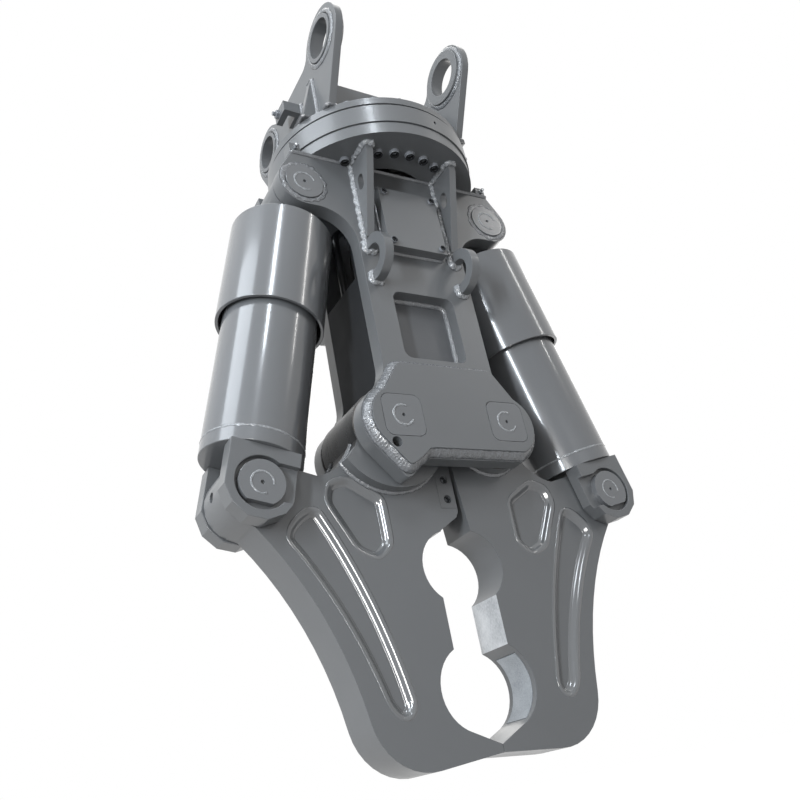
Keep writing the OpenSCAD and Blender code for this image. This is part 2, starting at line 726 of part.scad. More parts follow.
// Floor plate over the jaw hubs, top plate with a hole, and the two plates that close the windows
window_plate_t = 12;
window_lap = 14;
weld_gap = 0.5;
module inner_plates() {
    in_x = waist_x - web_t;
    window_foot_z = floor_z + web_t + weld_gap;
    color(grey) tool() difference() {
        union() {
            translate([-in_x, -plate_in, floor_z]) cube([2 * in_x, plate_gap, web_t]);
            translate([-in_x, -plate_in, web_top_z - web_t]) cube([2 * in_x, plate_gap, web_t]);
            for (s = [-1, 1])
                translate([-in_x, s > 0 ? plate_in - window_plate_t : -plate_in, window_foot_z])
                    cube([2 * in_x, window_plate_t, window_high_z + window_lap - window_foot_z]);
        }
        translate([0, 0, web_top_z - web_t - eps]) cylinder(r = spool_r, h = web_t + 2 * eps);
    }
}

// Outline of the pads over the pivots
pad_top_x = 134;
module pad_2d() {
    difference() {
        polygon(concat(
            low_edge(0),
            [[pad_top_x, pad_top_z - 6], [pad_top_x - 8, pad_top_z]],
            [[-pad_top_x + 8, pad_top_z], [-pad_top_x, pad_top_z - 6]]
        ));
        for (s = [-1, 1]) translate([s * pivot_x, 0]) polygon(square_cap(cap_half + 0.6));
        translate([lock_hole_x, lock_hole_z]) circle(r = lock_hole_r, $fn = 32);
    }
}

// Rounded square of the pivot pin heads
cap_half = 51;
function square_cap(h) = rounded([[-h, -h, 20], [h, -h, 20], [h, h, 20], [-h, h, 20]], 4);

module front_pad() {
    color(grey) tool() slab(-pad_out, -plate_out) pad_2d();
}

module back_pad() {
    color(grey) tool() slab(plate_out, pad_out) pad_2d();
}

module pivot_pins() {
    color(grey) tool() for (s = [-1, 1]) translate([s * pivot_x, 0, 0]) difference() {
        union() {
            rod_y(pivot_pin_r, -plate_out, plate_out);
            for (m = [0, 1]) mirror([0, m, 0]) slab(-pad_out, -plate_out) polygon(square_cap(cap_half));
        }
        for (m = [0, 1]) mirror([0, m, 0]) rod_y(grease_hole_r, -pad_out - eps, -pad_out + 14, $fn = 24);
    }
}

module cylinder_pins() {
    color(grey) tool() for (s = [-1, 1]) translate([s * cyl_pin_x, 0, cyl_pin_z]) difference() {
        union() {
            rod_y(cyl_pin_r, -plate_out, plate_out);
            for (m = [0, 1]) mirror([0, m, 0]) rod_y(cap_r, -plate_out - 4, -plate_out);
        }
        for (m = [0, 1]) mirror([0, m, 0]) rod_y(grease_hole_r, -plate_out - 5, -plate_out + 10, $fn = 24);
    }
}

module thrust_washers() {
    color(bronze) tool() for (s = [-1, 1], m = [0, 1]) mirror([0, m, 0])
        translate([s * pivot_x, 0, 0]) difference() {
            rod_y(hub_r - 4, -plate_in, -plate_in + washer_t);
            rod_y(pivot_pin_r + 6, -plate_in - eps, -plate_in + washer_t + eps);
        }
}

slot_r = 13;
slot_y = -plate_out - 34;
slot_z = flange_z - 96;
slot_len = 20;
module gussets() {
    color(grey) tool() for (s = [-1, 1], m = [0, 1]) mirror([0, m, 0])
        translate([s * gusset_x - gusset_t / 2, 0, 0]) difference() {
            rotate([90, 0, 90]) linear_extrude(gusset_t) polygon([
                [-plate_out, gusset_low_z], [-plate_out - 14, gusset_low_z],
                [-plate_out - gusset_reach, flange_z - 26], [-plate_out - gusset_reach, flange_z],
                [-plate_out, flange_z]]);
            for (z = [slot_z, slot_z + slot_len])
                translate([0, slot_y, z]) rod_x(slot_r, -eps, gusset_t + eps, $fn = 32);
            translate([-eps, slot_y - slot_r, slot_z]) cube([gusset_t + 2 * eps, 2 * slot_r, slot_len]);
        }
}

seat_side = 30;
seat_end = 34;
cover_bolt_r = 6;
module cover_seats() {
    color(grey) tool() for (m = [0, 1]) mirror([0, m, 0])
        slab(-plate_out - seat_t, -plate_out) difference() {
            translate([-cover_w / 2, cover_low_z]) square([cover_w, cover_high_z - cover_low_z]);
            translate([-cover_w / 2 + seat_side, cover_low_z + seat_end])
                square([cover_w - 2 * seat_side, cover_high_z - cover_low_z - 2 * seat_end]);
            for (p = cover_bolt_at) translate(p) circle(r = cover_bolt_r, $fn = 24);
        }
}

cover_bolt_at = [for (s = [-1, 1], z = [cover_low_z + 15, cover_high_z - 15]) [s * (cover_w / 2 - 14), z]];
module access_covers() {
    color(grey) tool() for (m = [0, 1]) mirror([0, m, 0])
        slab(-plate_out - seat_t - cover_t, -plate_out - seat_t) difference() {
            translate([-cover_w / 2, cover_low_z]) square([cover_w, cover_high_z - cover_low_z]);
            for (p = cover_bolt_at) translate(p) circle(r = cover_bolt_r + 0.5, $fn = 24);
        }
}

module cover_bolts() {
    color(dark) tool() for (m = [0, 1], p = cover_bolt_at) mirror([0, m, 0])
        translate([p[0], -plate_out - seat_t - cover_t, p[1]]) rotate([-90, 0, 0])
            socket_bolt(cover_bolt_r, seat_t + cover_t - 1, $fn = 24);
}

// Eyes under the gussets, both ends welded to the plate
eye_drop = 22;
module lifting_eye() difference() {
    translate([gusset_x - eye_t / 2, -plate_out - eye_drop, eye_z]) intersection() {
        rod_x(eye_r, 0, eye_t);
        translate([0, -eye_r, -eye_r]) cube([eye_t, eye_r + eye_drop, 2 * eye_r]);
    }
    translate([0, -plate_out - eye_drop, eye_z]) rod_x(eye_hole_r, 0, 2 * gusset_x);
    translate([0, -plate_out - eye_drop, eye_z - eye_hole_r])
        cube([2 * gusset_x, eye_drop + eps, 2 * eye_hole_r]);
}

module lifting_eyes() {
    color(grey) tool() for (side = [-1, 1], m = [0, 1]) mirror([0, m, 0]) on_side(side) lifting_eye();
}

// Lubrication blocks on the shoulders, with a nipple in each front face
lug_x = 289;
lug_w = 30;
lug_h = 32;
module grease_lugs() {
    color(grey) tool() for (s = [-1, 1], m = [0, 1]) mirror([0, m, 0])
        translate([s * lug_x - lug_w / 2, -plate_out + 2, flange_z]) difference() {
            cube([lug_w, plate_t - 6, lug_h]);
            translate([lug_w / 2, 0, lug_h / 2]) rod_y(grease_hole_r, -eps, 12, $fn = 24);
        }
}

module grease_nipples() {
    color(steel) tool() for (s = [-1, 1], m = [0, 1]) mirror([0, m, 0])
        translate([s * lug_x, -plate_out + 2, flange_z + lug_h / 2]) union() {
            rod_y(grease_hole_r, -14, 10, $fn = 24);
            rod_y(6.5, -6, 0, $fn = 6);
            translate([0, -13, 0]) sphere(r = 5, $fn = 24);
        }
}

module rod_eye(side) {
    color(grey) tool() on_cylinder(side) difference() {
        union() {
            rod_y(rod_eye_r, -plate_in + eye_play, plate_in - eye_play);
            cylinder(r = neck_r, h = neck_end);
        }
        rod_y(cyl_pin_r + bush_wall, -plate_in, plate_in);
        translate([0, 0, neck_end - spigot_len]) cylinder(r = spigot_r, h = 2 * spigot_len);
    }
    color(bronze) tool() on_cylinder(side) difference() {
        rod_y(cyl_pin_r + bush_wall, -plate_in + eye_play, plate_in - eye_play);
        rod_y(cyl_pin_r + running_clear, -plate_in, plate_in);
    }
}

module piston_rod(side) {
    color(steel) tool() on_cylinder(side) union() {
        translate([0, 0, neck_end]) cylinder(r = rod_r, h = rod_end - neck_end);
        translate([0, 0, neck_end - spigot_len]) cylinder(r = spigot_r, h = spigot_len + spigot_play);
        translate([0, 0, rod_end - eps]) cylinder(r = spigot_r, h = 24 + eps);
    }
}

module guard_sleeve(side) {
    color(grey) tool() on_cylinder(side) translate([0, 0, guard_drop]) union() {
        ring(guard_r, guard_r - guard_wall, guard_len);
        ring(guard_r - guard_wall / 2, neck_r, guard_lid_t);
    }
}

module piston(side) {
    color(steel) tool() on_cylinder(side) translate([0, 0, piston_top]) difference() {
        cylinder(r = barrel_r - barrel_wall - running_clear, h = piston_len);
        translate([0, 0, -eps]) cylinder(r = rod_r, h = piston_len + 2 * eps);
        for (z = [10, piston_len - 16]) translate([0, 0, z])
            ring(barrel_r, barrel_r - barrel_wall - 4, seal_h);
    }
}

module barrel(side) {
    color(grey) tool() on_cylinder(side) translate([0, 0, barrel_top]) difference() {
        cylinder(r = barrel_r, h = barrel_len);
        translate([0, 0, -eps]) cylinder(r = barrel_r - barrel_wall, h = barrel_len - barrel_end_t + eps);
    }
}

module gland(side) {
    color(steel) tool() on_cylinder(side) translate([0, 0, barrel_top]) difference() {
        cylinder(r = barrel_r - barrel_wall - running_clear, h = gland_len);
        translate([0, 0, -eps]) cylinder(r = rod_r + running_clear, h = gland_len + 2 * eps);
        for (z = [12, 28]) translate([0, 0, z]) cylinder(r = rod_r + 5, h = seal_h);
    }
}

// Two cheeks over the jaw ear, with a recess for the pin cap, open towards the frame
module fork(side) {
    color(grey) tool() on_cylinder(side) translate([0, 0, cyl_len]) difference() {
        union() {
            translate([-fork_r, -fork_out, barrel_bottom - cyl_len])
                cube([2 * fork_r, 2 * fork_out, cyl_len - barrel_bottom]);
            rotate([0, 15, 0]) rod_y(fork_r / cos(15), -fork_out, fork_out, $fn = 12);
        }
        translate([-2 * fork_r, -fork_gap / 2, barrel_bottom - cyl_len - eps])
            cube([4 * fork_r, fork_gap, cyl_len - barrel_bottom + 2 * fork_r]);
        rod_y(fork_pin_r + running_clear, -fork_out - eps, fork_out + eps);
        for (m = [0, 1]) mirror([0, m, 0]) {
            rod_y(cap_r + 8, -fork_out - eps, -fork_out + cap_recess);
            translate([0, -fork_out - eps, -cap_r])
                cube([2 * fork_r, cap_recess + eps, cap_r + cap_keep - cap_keep_lip]);
        }
    }
}

// Lower pin with round caps; each cap has a flat against the keeper lip
cap_keep = 42;
cap_keep_lip = 10;
module fork_pin(side) {
    color(grey) tool() on_cylinder(side) translate([0, 0, cyl_len]) difference() {
        union() {
            rod_y(fork_pin_r, -fork_out + cap_recess, fork_out - cap_recess);
            for (m = [0, 1]) mirror([0, m, 0]) rod_y(cap_r, -fork_out, -fork_out + cap_recess);
        }
        for (m = [0, 1]) mirror([0, m, 0]) {
            rod_y(grease_hole_r, -fork_out - eps, -fork_out + 10, $fn = 24);
            translate([-cap_r, -fork_out - eps, cap_keep]) cube([2 * cap_r, cap_recess + eps, cap_r]);
        }
    }
}

// Outline of the right jaw in XZ, from the throat down the bites and back up outside
upper_bite = [upper_bite_x, upper_bite_z];
lower_bite = [lower_bite_x, lower_bite_z];
tooth_top_angle = -acos((tooth_x - upper_bite_x) / upper_bite_r);
tooth_low_angle = acos((tooth_x - lower_bite_x) / lower_bite_r);
throat_angle = acos((throat_low_x - upper_bite_x) / upper_bite_r);
corner_at = [jaw_half_w - corner_r, bottom_z - 13 + corner_r];
outer_low = corner_at + corner_r * [cos(-11), sin(-11)];
ear_at = [jaw_pin_x, -jaw_pin_drop];
outer_high = ear_at + (jaw_ear_r + 2) * [cos(-84), sin(-84)];
shoulder_at = [pivot_x + 180, -108];
jaw_flare_r = 125;
top_touch = touch(shoulder_at, ear_at, jaw_ear_r, -1);
jaw_inner_edge = concat(
    [[throat_top_x, throat_top_z]],
    sweep(upper_bite, upper_bite_r, throat_angle, tooth_top_angle, 14),
    sweep(lower_bite, lower_bite_r, tooth_low_angle, -60, 14),
    [[tip_gap, tip_z], [tip_gap, bottom_z]]
);
jaw_outer_edge = concat(
    sweep(corner_at, corner_r, -96, -11, 9),
    arc(outer_low, outer_high, -outer_edge_r, 10),
    sweep(ear_at, jaw_ear_r, -78, top_touch, 14),
    [shoulder_at],
    arc(shoulder_at, [pivot_x, 0] + hub_r * [cos(-20), sin(-20)], -jaw_flare_r, 6)
);

// Pockets in the faces of the right jaw
long_pocket = concat(
    arc([332, -184], [184, -586], 1300, 8),
    [[190, -606], [208, -616], [226, -606]],
    arc([240, -585], [408, -246], -1000, 8),
    [[402, -222], [376, -194], [350, -180]]
);
short_pocket = rounded([
    [252, -108, 14], [300, -120, 22], [312, -164, 18], [252, -274, 16], [206, -296, 20],
    [170, -262, 14], [172, -156, 12]], 4);

module jaw_2d(side) {
    union() {
        polygon(concat(jaw_inner_edge, jaw_outer_edge));
        translate([pivot_x, 0]) circle(r = hub_r);
        if (side < 0) polygon([[-flap_x, flap_top_z], [-flap_x, flap_low_z + 14], [-flap_x + 8, flap_low_z],
            [38, flap_low_z - 30], [pivot_x, flap_low_z], [pivot_x, flap_top_z], [40, flap_top_z]]);
    }
}

module jaw(side) {
    color(grey) tool() on_side(side) difference() {
        slab(-jaw_y, jaw_y) jaw_2d(side);
        translate([pivot_x, 0, 0]) rod_y(pivot_pin_r + pivot_bush_wall, -jaw_y - eps, jaw_y + eps);
        translate([ear_at[0], 0, ear_at[1]]) rod_y(fork_pin_r + loop_play, -jaw_y - eps, jaw_y + eps);
        for (m = [0, 1]) mirror([0, m, 0]) slab(-jaw_y - eps, -jaw_y + pocket_depth) {
            polygon(long_pocket);
            polygon(short_pocket);
        }
        bite_liner_cut();
        if (side < 0) {
            throat_blade_shape(blade_fit);
            for (z = blade_bolt_z) translate([blade_bolt_x, 0, z])
                rod_y(blade_bolt_r, -jaw_y, 0, $fn = 24);
            translate([-lock_hole_x, 0, lock_hole_z])
                rod_y(lock_hole_r, -jaw_y - eps, jaw_y + eps, $fn = 32);
        }
    }
}

// Doublers on both faces round the pivot, cut to the outline of the jaw
module jaw_hubs(side) {
    color(grey) tool() on_side(side) for (m = [0, 1]) mirror([0, m, 0]) difference() {
        slab(-hub_out, -jaw_y) intersection() {
            jaw_2d(0);
            translate([pivot_x, 0]) circle(r = side < 0 ? doubler_r : hub_r);
        }
        translate([pivot_x, 0, 0]) rod_y(pivot_pin_r + pivot_bush_wall, -hub_out - eps, -jaw_y + eps);
        if (side < 0) translate([-lock_hole_x, 0, lock_hole_z])
            rod_y(lock_hole_r, -hub_out - eps, -jaw_y + eps, $fn = 32);
    }
}

module pivot_bush(side) {
    color(bronze) tool() on_side(side) translate([pivot_x, 0, 0]) difference() {
        rod_y(pivot_pin_r + pivot_bush_wall - running_clear, -hub_out, hub_out);
        rod_y(pivot_pin_r + running_clear, -hub_out - eps, hub_out + eps);
    }
}

// Hardened liner let into the wall of the lower bite
liner_half_w = jaw_y - 15;
liner_a0 = -52;
liner_a1 = 44;
liner_fit = 0.3;
blade_fit = 0.3;
module liner_shape(r0, r1, a0, a1, half) slab(-half, half) polygon(concat(
    sweep(lower_bite, r0, a0, a1, 10), sweep(lower_bite, r1, a1, a0, 10)));
module bite_liner_cut()
    liner_shape(lower_bite_r - 4, lower_bite_r + liner_t + liner_fit, liner_a0 - liner_fit,
        liner_a1 + liner_fit, liner_half_w + liner_fit);
module bite_liner(side) {
    color(steel) tool() on_side(side)
        liner_shape(lower_bite_r - 1, lower_bite_r + liner_t, liner_a0, liner_a1, liner_half_w);
}

// Replaceable blade at the throat, bolted into the front face of the left jaw
blade_bolt_x = 3;
blade_bolt_z = [-110, -158];
blade_bolt_r = 6;
blade_sink = 10;
module throat_blade_shape(c) slab(-jaw_y - (c > 0 ? eps : 0), -jaw_y + blade_t + c) polygon([
    [-flap_x - (c > 0 ? eps : 0), flap_top_z - 16 + c], [-flap_x - (c > 0 ? eps : 0), flap_low_z + 22 - c],
    [-blade_x + c, flap_low_z + 22 - c], [-blade_x + c, flap_top_z - 16 + c]]);
module throat_blade() {
    color(grey) tool() mirror([1, 0, 0]) difference() {
        throat_blade_shape(0);
        for (z = blade_bolt_z) translate([blade_bolt_x, 0, z]) {
            rod_y(blade_bolt_r + 0.5, -jaw_y - eps, 0, $fn = 24);
            rod_y(10, -jaw_y - eps, -jaw_y + blade_sink, $fn = 24);
        }
    }
}

module throat_blade_bolts() {
    color(dark) tool() mirror([1, 0, 0]) for (z = blade_bolt_z)
        translate([blade_bolt_x, -jaw_y + blade_sink, z]) rotate([-90, 0, 0])
            socket_bolt(blade_bolt_r, jaw_y - blade_sink - 4, $fn = 24);
}

module carrier_ear_left() carrier_ear(-1);
module carrier_ear_right() carrier_ear(1);

carrier_flange();
carrier_ear_left();
carrier_ear_right();
ear_cross_plate();
ear_ribs();
pin_stop_block();
pin_stop_bolt();
slew_outer_ring();
outer_ring_bolts();
slew_motor();
swivel_housing();
slew_pinion();
lower_flange();
slew_inner_ring();
inner_ring_bolts();
slew_balls();
front_plate();
back_plate();
side_webs();
inner_plates();
front_pad();
back_pad();
gussets();
cover_seats();
access_covers();
cover_bolts();
lifting_eyes();
grease_lugs();
grease_nipples();
thrust_washers();
pivot_pins();
cylinder_pins();
swivel_spool();
hydraulic_lines();
rod_eye(-1);  // rod_eye_left
rod_eye(1);  // rod_eye_right
piston_rod(-1);  // piston_rod_left
piston_rod(1);  // piston_rod_right
guard_sleeve(-1);  // guard_sleeve_left
guard_sleeve(1);  // guard_sleeve_right
piston(-1);  // piston_left
piston(1);  // piston_right
barrel(-1);  // barrel_left
barrel(1);  // barrel_right
fork(-1);  // fork_left
fork(1);  // fork_right
gland(-1);  // gland_left
gland(1);  // gland_right
fork_pin(-1);  // fork_pin_left
fork_pin(1);  // fork_pin_right
jaw(-1);  // jaw_left
jaw(1);  // jaw_right
jaw_hubs(-1);  // jaw_hubs_left
jaw_hubs(1);  // jaw_hubs_right
pivot_bush(-1);  // pivot_bush_left
pivot_bush(1);  // pivot_bush_right
bite_liner(-1);  // bite_liner_left
bite_liner(1);  // bite_liner_right
throat_blade();
throat_blade_bolts();
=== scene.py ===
"""Looks of the demolition shear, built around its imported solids.

The tool is shown as it hangs from an excavator's arm, in glossy mid grey enamel over welded steel
plate. Lengths in the dataclasses are millimetres in the tool's own frame, whose origin lies
midway between the two jaw pivots; row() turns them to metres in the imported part's frame.
"""

import logging
import math
from dataclasses import dataclass, field
from enum import Enum
from typing import Callable, Iterable, Sequence

import bmesh
import bpy
from mathutils import Matrix, Vector, noise


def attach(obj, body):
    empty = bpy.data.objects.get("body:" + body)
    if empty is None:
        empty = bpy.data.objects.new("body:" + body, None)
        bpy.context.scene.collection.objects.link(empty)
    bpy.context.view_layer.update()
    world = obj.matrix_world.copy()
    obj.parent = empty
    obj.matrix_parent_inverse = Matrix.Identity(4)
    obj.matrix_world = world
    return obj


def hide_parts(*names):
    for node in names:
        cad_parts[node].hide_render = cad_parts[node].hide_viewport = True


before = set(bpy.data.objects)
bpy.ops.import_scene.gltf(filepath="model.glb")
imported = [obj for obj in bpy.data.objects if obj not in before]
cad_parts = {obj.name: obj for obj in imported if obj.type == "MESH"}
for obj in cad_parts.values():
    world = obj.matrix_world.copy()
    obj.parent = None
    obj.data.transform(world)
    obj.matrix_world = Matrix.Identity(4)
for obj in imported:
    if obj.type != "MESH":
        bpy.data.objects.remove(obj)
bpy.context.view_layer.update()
LOG = logging.getLogger("shear")

MM = 0.001
# Places in millimetres about the middle of the jaw pivots: of the arm pin, of a jaw pivot and
# of a cylinder's upper pin.
ARM_PIN_FORWARD = 220.0
ARM_PIN_HEIGHT = 1089.0
PIVOT_X = 142.5
CYLINDER_PIN = (279.0, 651.0)
# Points of a solid closer than this are one point, in metres.
MERGE = 2e-5
# Places this near to a plane lie on it, in millimetres.
ON_PLANE = 0.05
# Bends in degrees: of one flat face at most, of an edge that is rounded, of a sharp edge.
FLAT_ANGLE = 0.4
EDGE_ANGLE = 32.0
CREASE_ANGLE = 34.0
# Directions with at least this cosine between them count as one slight bend.
SLIGHT_BEND = 0.97
# Directions at a corner that differ by more than this get a point each.
CORNER_GAP = 0.15
# Steps along a line in millimetres, and round an arc in degrees.
LINE_STEP = 3.0
ARC_STEP = 4.0
X_AXIS = Vector((1, 0, 0))
Y_AXIS = Vector((0, 1, 0))
Z_AXIS = Vector((0, 0, 1))


class Side(Enum):
    """Left or right half of the tool, as its sign along X."""

    LEFT = -1
    RIGHT = 1

    @property
    def word(self) -> str:
        """The side's name as the solids use it."""
        return self.name.lower()


class Face(Enum):
    """Front or back of the frame, as its sign along Y."""

    FRONT = -1
    BACK = 1

    @property
    def word(self) -> str:
        """The face's name as the solids use it."""
        return self.name.lower()


class Seam(Enum):
    """Form of a weld: in a corner between two faces, or flat on one."""

    FILLET = "fillet"
    FLAT = "flat"


def row(x: float, y: float, z: float) -> Vector:
    """Turns a point of the tool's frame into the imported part's frame.

    Args:
        x, y, z: place in millimetres about the middle of the jaw pivots.

    Returns:
        The place in metres about the arm pin.
    """
    return Vector((x, y + ARM_PIN_FORWARD, z - ARM_PIN_HEIGHT)) * MM


def srgb(code: str) -> tuple[float, float, float, float]:
    """Turns an sRGB hex colour into linear red, green, blue and alpha.

    Args:
        code: colour as six hex digits after a hash.

    Returns:
        The linear colour with alpha 1.
    """
    parts = [int(code[i:i + 2], 16) / 255 for i in (1, 3, 5)]
    red, green, blue = (p / 12.92 if p <= 0.04045 else ((p + 0.055) / 1.055) ** 2.4 for p in parts)
    return red, green, blue, 1.0


def add_node(tree: bpy.types.NodeTree, kind: str, settings: dict | None = None,
             links: dict | None = None) -> bpy.types.Node:
    """Adds a node with its settings and its inputs.

    Args:
        tree: the material's or world's node tree.
        kind: type of the node.
        settings: properties to set on it.
        links: for each input, a value or an output socket.

    Returns:
        The new node.
    """
    node = tree.nodes.new(kind)
    for key, value in (settings or {}).items():
        setattr(node, key, value)
    for key, value in (links or {}).items():
        if isinstance(value, bpy.types.NodeSocket):
            tree.links.new(value, node.inputs[key])
        else:
            node.inputs[key].default_value = value
    return node


@dataclass(frozen=True)
class Finish:
    """A surface finish, as one procedural material on Object coordinates."""

    name: str
    slot: str
    colour: str
    shade: str
    roughness: float
    metallic: float = 0.0

    def material(self) -> bpy.types.Material:
        """Makes the material of this finish at its first use.

        Returns:
            The material.
        """
        found = bpy.data.materials.get(self.name)
        if found:
            return found
        made = bpy.data.materials.new(self.name)
        made.use_nodes = True
        tree = made.node_tree
        shader = tree.nodes["Principled BSDF"]
        shader.inputs["Metallic"].default_value = self.metallic
        place = add_node(tree, "ShaderNodeTexCoord").outputs["Object"]
        self.dress(tree, shader, place)
        return made

    def tint(self, tree: bpy.types.NodeTree, shader: bpy.types.Node,
             amount: bpy.types.NodeSocket) -> None:
        """Mixes the finish's two colours.

        Args:
            tree: the material's node tree.
            shader: its main shader.
            amount: share of the second colour, from 0 to 1.
        """
        mix = add_node(tree, "ShaderNodeMix", {"data_type": "RGBA"}, {
            0: amount, 6: srgb(self.colour), 7: srgb(self.shade)})
        tree.links.new(mix.outputs[2], shader.inputs["Base Color"])

    def gloss(self, tree: bpy.types.NodeTree, shader: bpy.types.Node,
              amount: bpy.types.NodeSocket, spread: float) -> None:
        """Lets the roughness wander about its value.

        Args:
            tree: the material's node tree.
            shader: its main shader.
            amount: what it follows, from 0 to 1.
            spread: how far it goes to either side.
        """
        span = add_node(tree, "ShaderNodeMapRange", None, {
            0: amount, 3: max(self.roughness - spread, 0.02), 4: self.roughness + spread})
        tree.links.new(span.outputs[0], shader.inputs["Roughness"])

    def dress(self, tree: bpy.types.NodeTree, shader: bpy.types.Node,
              place: bpy.types.NodeSocket) -> None:
        """Adds the nodes that make this finish."""
        raise NotImplementedError


@dataclass(frozen=True)
class GlossEnamel(Finish):
    """Two-pack enamel sprayed over blasted plate: glossy, with orange peel and faint dust."""

    peel_mm: float = 2.4
    wave_mm: float = 55.0
    cloud_mm: float = 260.0
    relief_mm: float = 0.05
    coat: float = 0.35
    specular: float = 0.5

    def dress(self, tree: bpy.types.NodeTree, shader: bpy.types.Node,
              place: bpy.types.NodeSocket) -> None:
        """Adds cloudy colour, uneven gloss and two scales of relief.

        Args:
            tree: the material's node tree.
            shader: its main shader.
            place: Object coordinates.
        """
        cloud = add_node(tree, "ShaderNodeTexNoise", None, {
            "Vector": place, "Scale": 1000 / self.cloud_mm, "Detail": 5.0, "Roughness": 0.6})
        self.tint(tree, shader, cloud.outputs["Fac"])
        wave = add_node(tree, "ShaderNodeTexNoise", None, {
            "Vector": place, "Scale": 1000 / self.wave_mm, "Detail": 1.0, "Roughness": 0.4})
        self.gloss(tree, shader, wave.outputs["Fac"], 0.07)
        peel = add_node(tree, "ShaderNodeTexNoise", None, {
            "Vector": place, "Scale": 1000 / self.peel_mm, "Detail": 1.0, "Roughness": 0.4})
        low = add_node(tree, "ShaderNodeBump", None, {
            "Height": wave.outputs["Fac"], "Distance": 0.6 * MM, "Strength": 0.35})
        high = add_node(tree, "ShaderNodeBump", None, {
            "Height": peel.outputs["Fac"], "Distance": self.relief_mm * MM, "Strength": 0.6,
            "Normal": low.outputs["Normal"]})
        tree.links.new(high.outputs["Normal"], shader.inputs["Normal"])
        shader.inputs["Specular IOR Level"].default_value = self.specular
        shader.inputs["Coat Weight"].default_value = self.coat
        shader.inputs["Coat Roughness"].default_value = 0.08


@dataclass(frozen=True)
class WeldEnamel(Finish):
    """The same enamel over a weld: ripples and spatter break the gloss into bright specks."""

    grain_mm: float = 6.5
    relief_mm: float = 3.0

    def dress(self, tree: bpy.types.NodeTree, shader: bpy.types.Node,
              place: bpy.types.NodeSocket) -> None:
        """Adds lumpy relief and a colour mix that follows the same lumps; on welds its paler specks
        are painted highlights.

        Args:
            tree: the material's node tree.
            shader: its main shader.
            place: Object coordinates.
        """
        lump = add_node(tree, "ShaderNodeTexNoise", None, {
            "Vector": place, "Scale": 1000 / self.grain_mm, "Detail": 3.0, "Roughness": 0.65})
        self.tint(tree, shader, lump.outputs["Fac"])
        self.gloss(tree, shader, lump.outputs["Fac"], 0.10)
        bump = add_node(tree, "ShaderNodeBump", None, {
            "Height": lump.outputs["Fac"], "Distance": self.relief_mm * MM, "Strength": 0.8})
        tree.links.new(bump.outputs["Normal"], shader.inputs["Normal"])
        shader.inputs["Coat Weight"].default_value = 0.6
        shader.inputs["Coat Roughness"].default_value = 0.10


@dataclass(frozen=True)
class WorkedMetal(Finish):
    """Bare metal with the marks of its machining, stretched along one axis."""

    mark_mm: float = 1.5
    patch_mm: float = 45.45
    stretch: tuple[float, float, float] = (1.0, 1.0, 1.0)
    relief_mm: float = 0.08
    spread: float = 0.10

    def dress(self, tree: bpy.types.NodeTree, shader: bpy.types.Node,
              place: bpy.types.NodeSocket) -> None:
        """Adds machining marks to colour, gloss and relief.

        Args:
            tree: the material's node tree.
            shader: its main shader.
            place: Object coordinates.
        """
        turned = add_node(tree, "ShaderNodeMapping", None, {"Vector": place, "Scale": self.stretch})
        mark = add_node(tree, "ShaderNodeTexNoise", None, {
            "Vector": turned.outputs[0], "Scale": 1000 / self.mark_mm, "Detail": 4.0,
            "Roughness": 0.6})
        patch = add_node(tree, "ShaderNodeTexNoise", None, {
            "Vector": place, "Scale": 1000 / self.patch_mm, "Detail": 4.0})
        both = add_node(tree, "ShaderNodeMath", {"operation": "MULTIPLY"}, {
            0: mark.outputs["Fac"], 1: patch.outputs["Fac"]})
        lift = add_node(tree, "ShaderNodeMath", {"operation": "MULTIPLY", "use_clamp": True}, {
            0: both.outputs[0], 1: 2.4})
        self.tint(tree, shader, lift.outputs[0])
        self.gloss(tree, shader, mark.outputs["Fac"], self.spread)
        bump = add_node(tree, "ShaderNodeBump", None, {
            "Height": mark.outputs["Fac"], "Distance": self.relief_mm * MM, "Strength": 0.7})
        tree.links.new(bump.outputs["Normal"], shader.inputs["Normal"])


# The whole tool is sprayed after assembly, so most of it shares one enamel.
PLATE_GREY = GlossEnamel("grey_enamel_on_plate", "grey_paint", "#6c6d6e", "#656667", 0.32,
                         peel_mm=6.0, coat=0.1)
# Turned tubes are smoother than plate and mirror the lamps in long sharp streaks.
TUBE_GREY = GlossEnamel("grey_enamel_on_turned_tube", "grey_paint", "#6f7072", "#6a6b6c", 0.20,
                        peel_mm=7.0, wave_mm=130.0, relief_mm=0.02, coat=0.4)
# Enamel over a bead's ripples catches the light in short bright dashes; it is also painted paler than
# the plate, with paler specks, as painted highlight.
WELD_GREY = WeldEnamel("grey_enamel_on_weld", "grey_paint", "#7c7d7f", "#68696b", 0.26)
# Paint pools along the pockets' rolled walls and dries there to the glossiest film.
POOL_GREY = GlossEnamel("pooled_enamel_in_pockets", "grey_paint", "#6a6b6c", "#626364", 0.15,
                        peel_mm=9.0, wave_mm=150.0, relief_mm=0.02, coat=0.9)
# Heavy beads carry spatter in their relief; the pale specks in their colour are painted highlights.
SPATTER_AND_HIGHLIGHT_GREY = WeldEnamel("grey_enamel_on_heavy_weld", "grey_paint", "#b4b6b8", "#58595b", 0.20,
                          grain_mm=4.5, relief_mm=3.6)
# Bolts come blackened from their maker and get one thin coat with the tool, a little paler.
BOLT_GREY = GlossEnamel("thin_enamel_on_bolts", "black_bolts", "#8a8c90", "#7a7c80", 0.22,
                        peel_mm=1.5, wave_mm=12.0)
# Inside the frame the same enamel is painted duller and darker as painted shade.
FRAME_SHADE_GREY = GlossEnamel("enamel_in_shade_of_frame", "grey_paint", "#5f6062", "#4f5052", 0.5,
                        coat=0.1)
# A dark dull enamel as painted shade where little light falls: on the side webs between the plates
# and deep in the screws' sockets.
DEEP_GREY = GlossEnamel("painted_shade_in_gaps", "grey_paint", "#2f3032", "#272829", 0.62, coat=0.0,
                        specular=0.1)
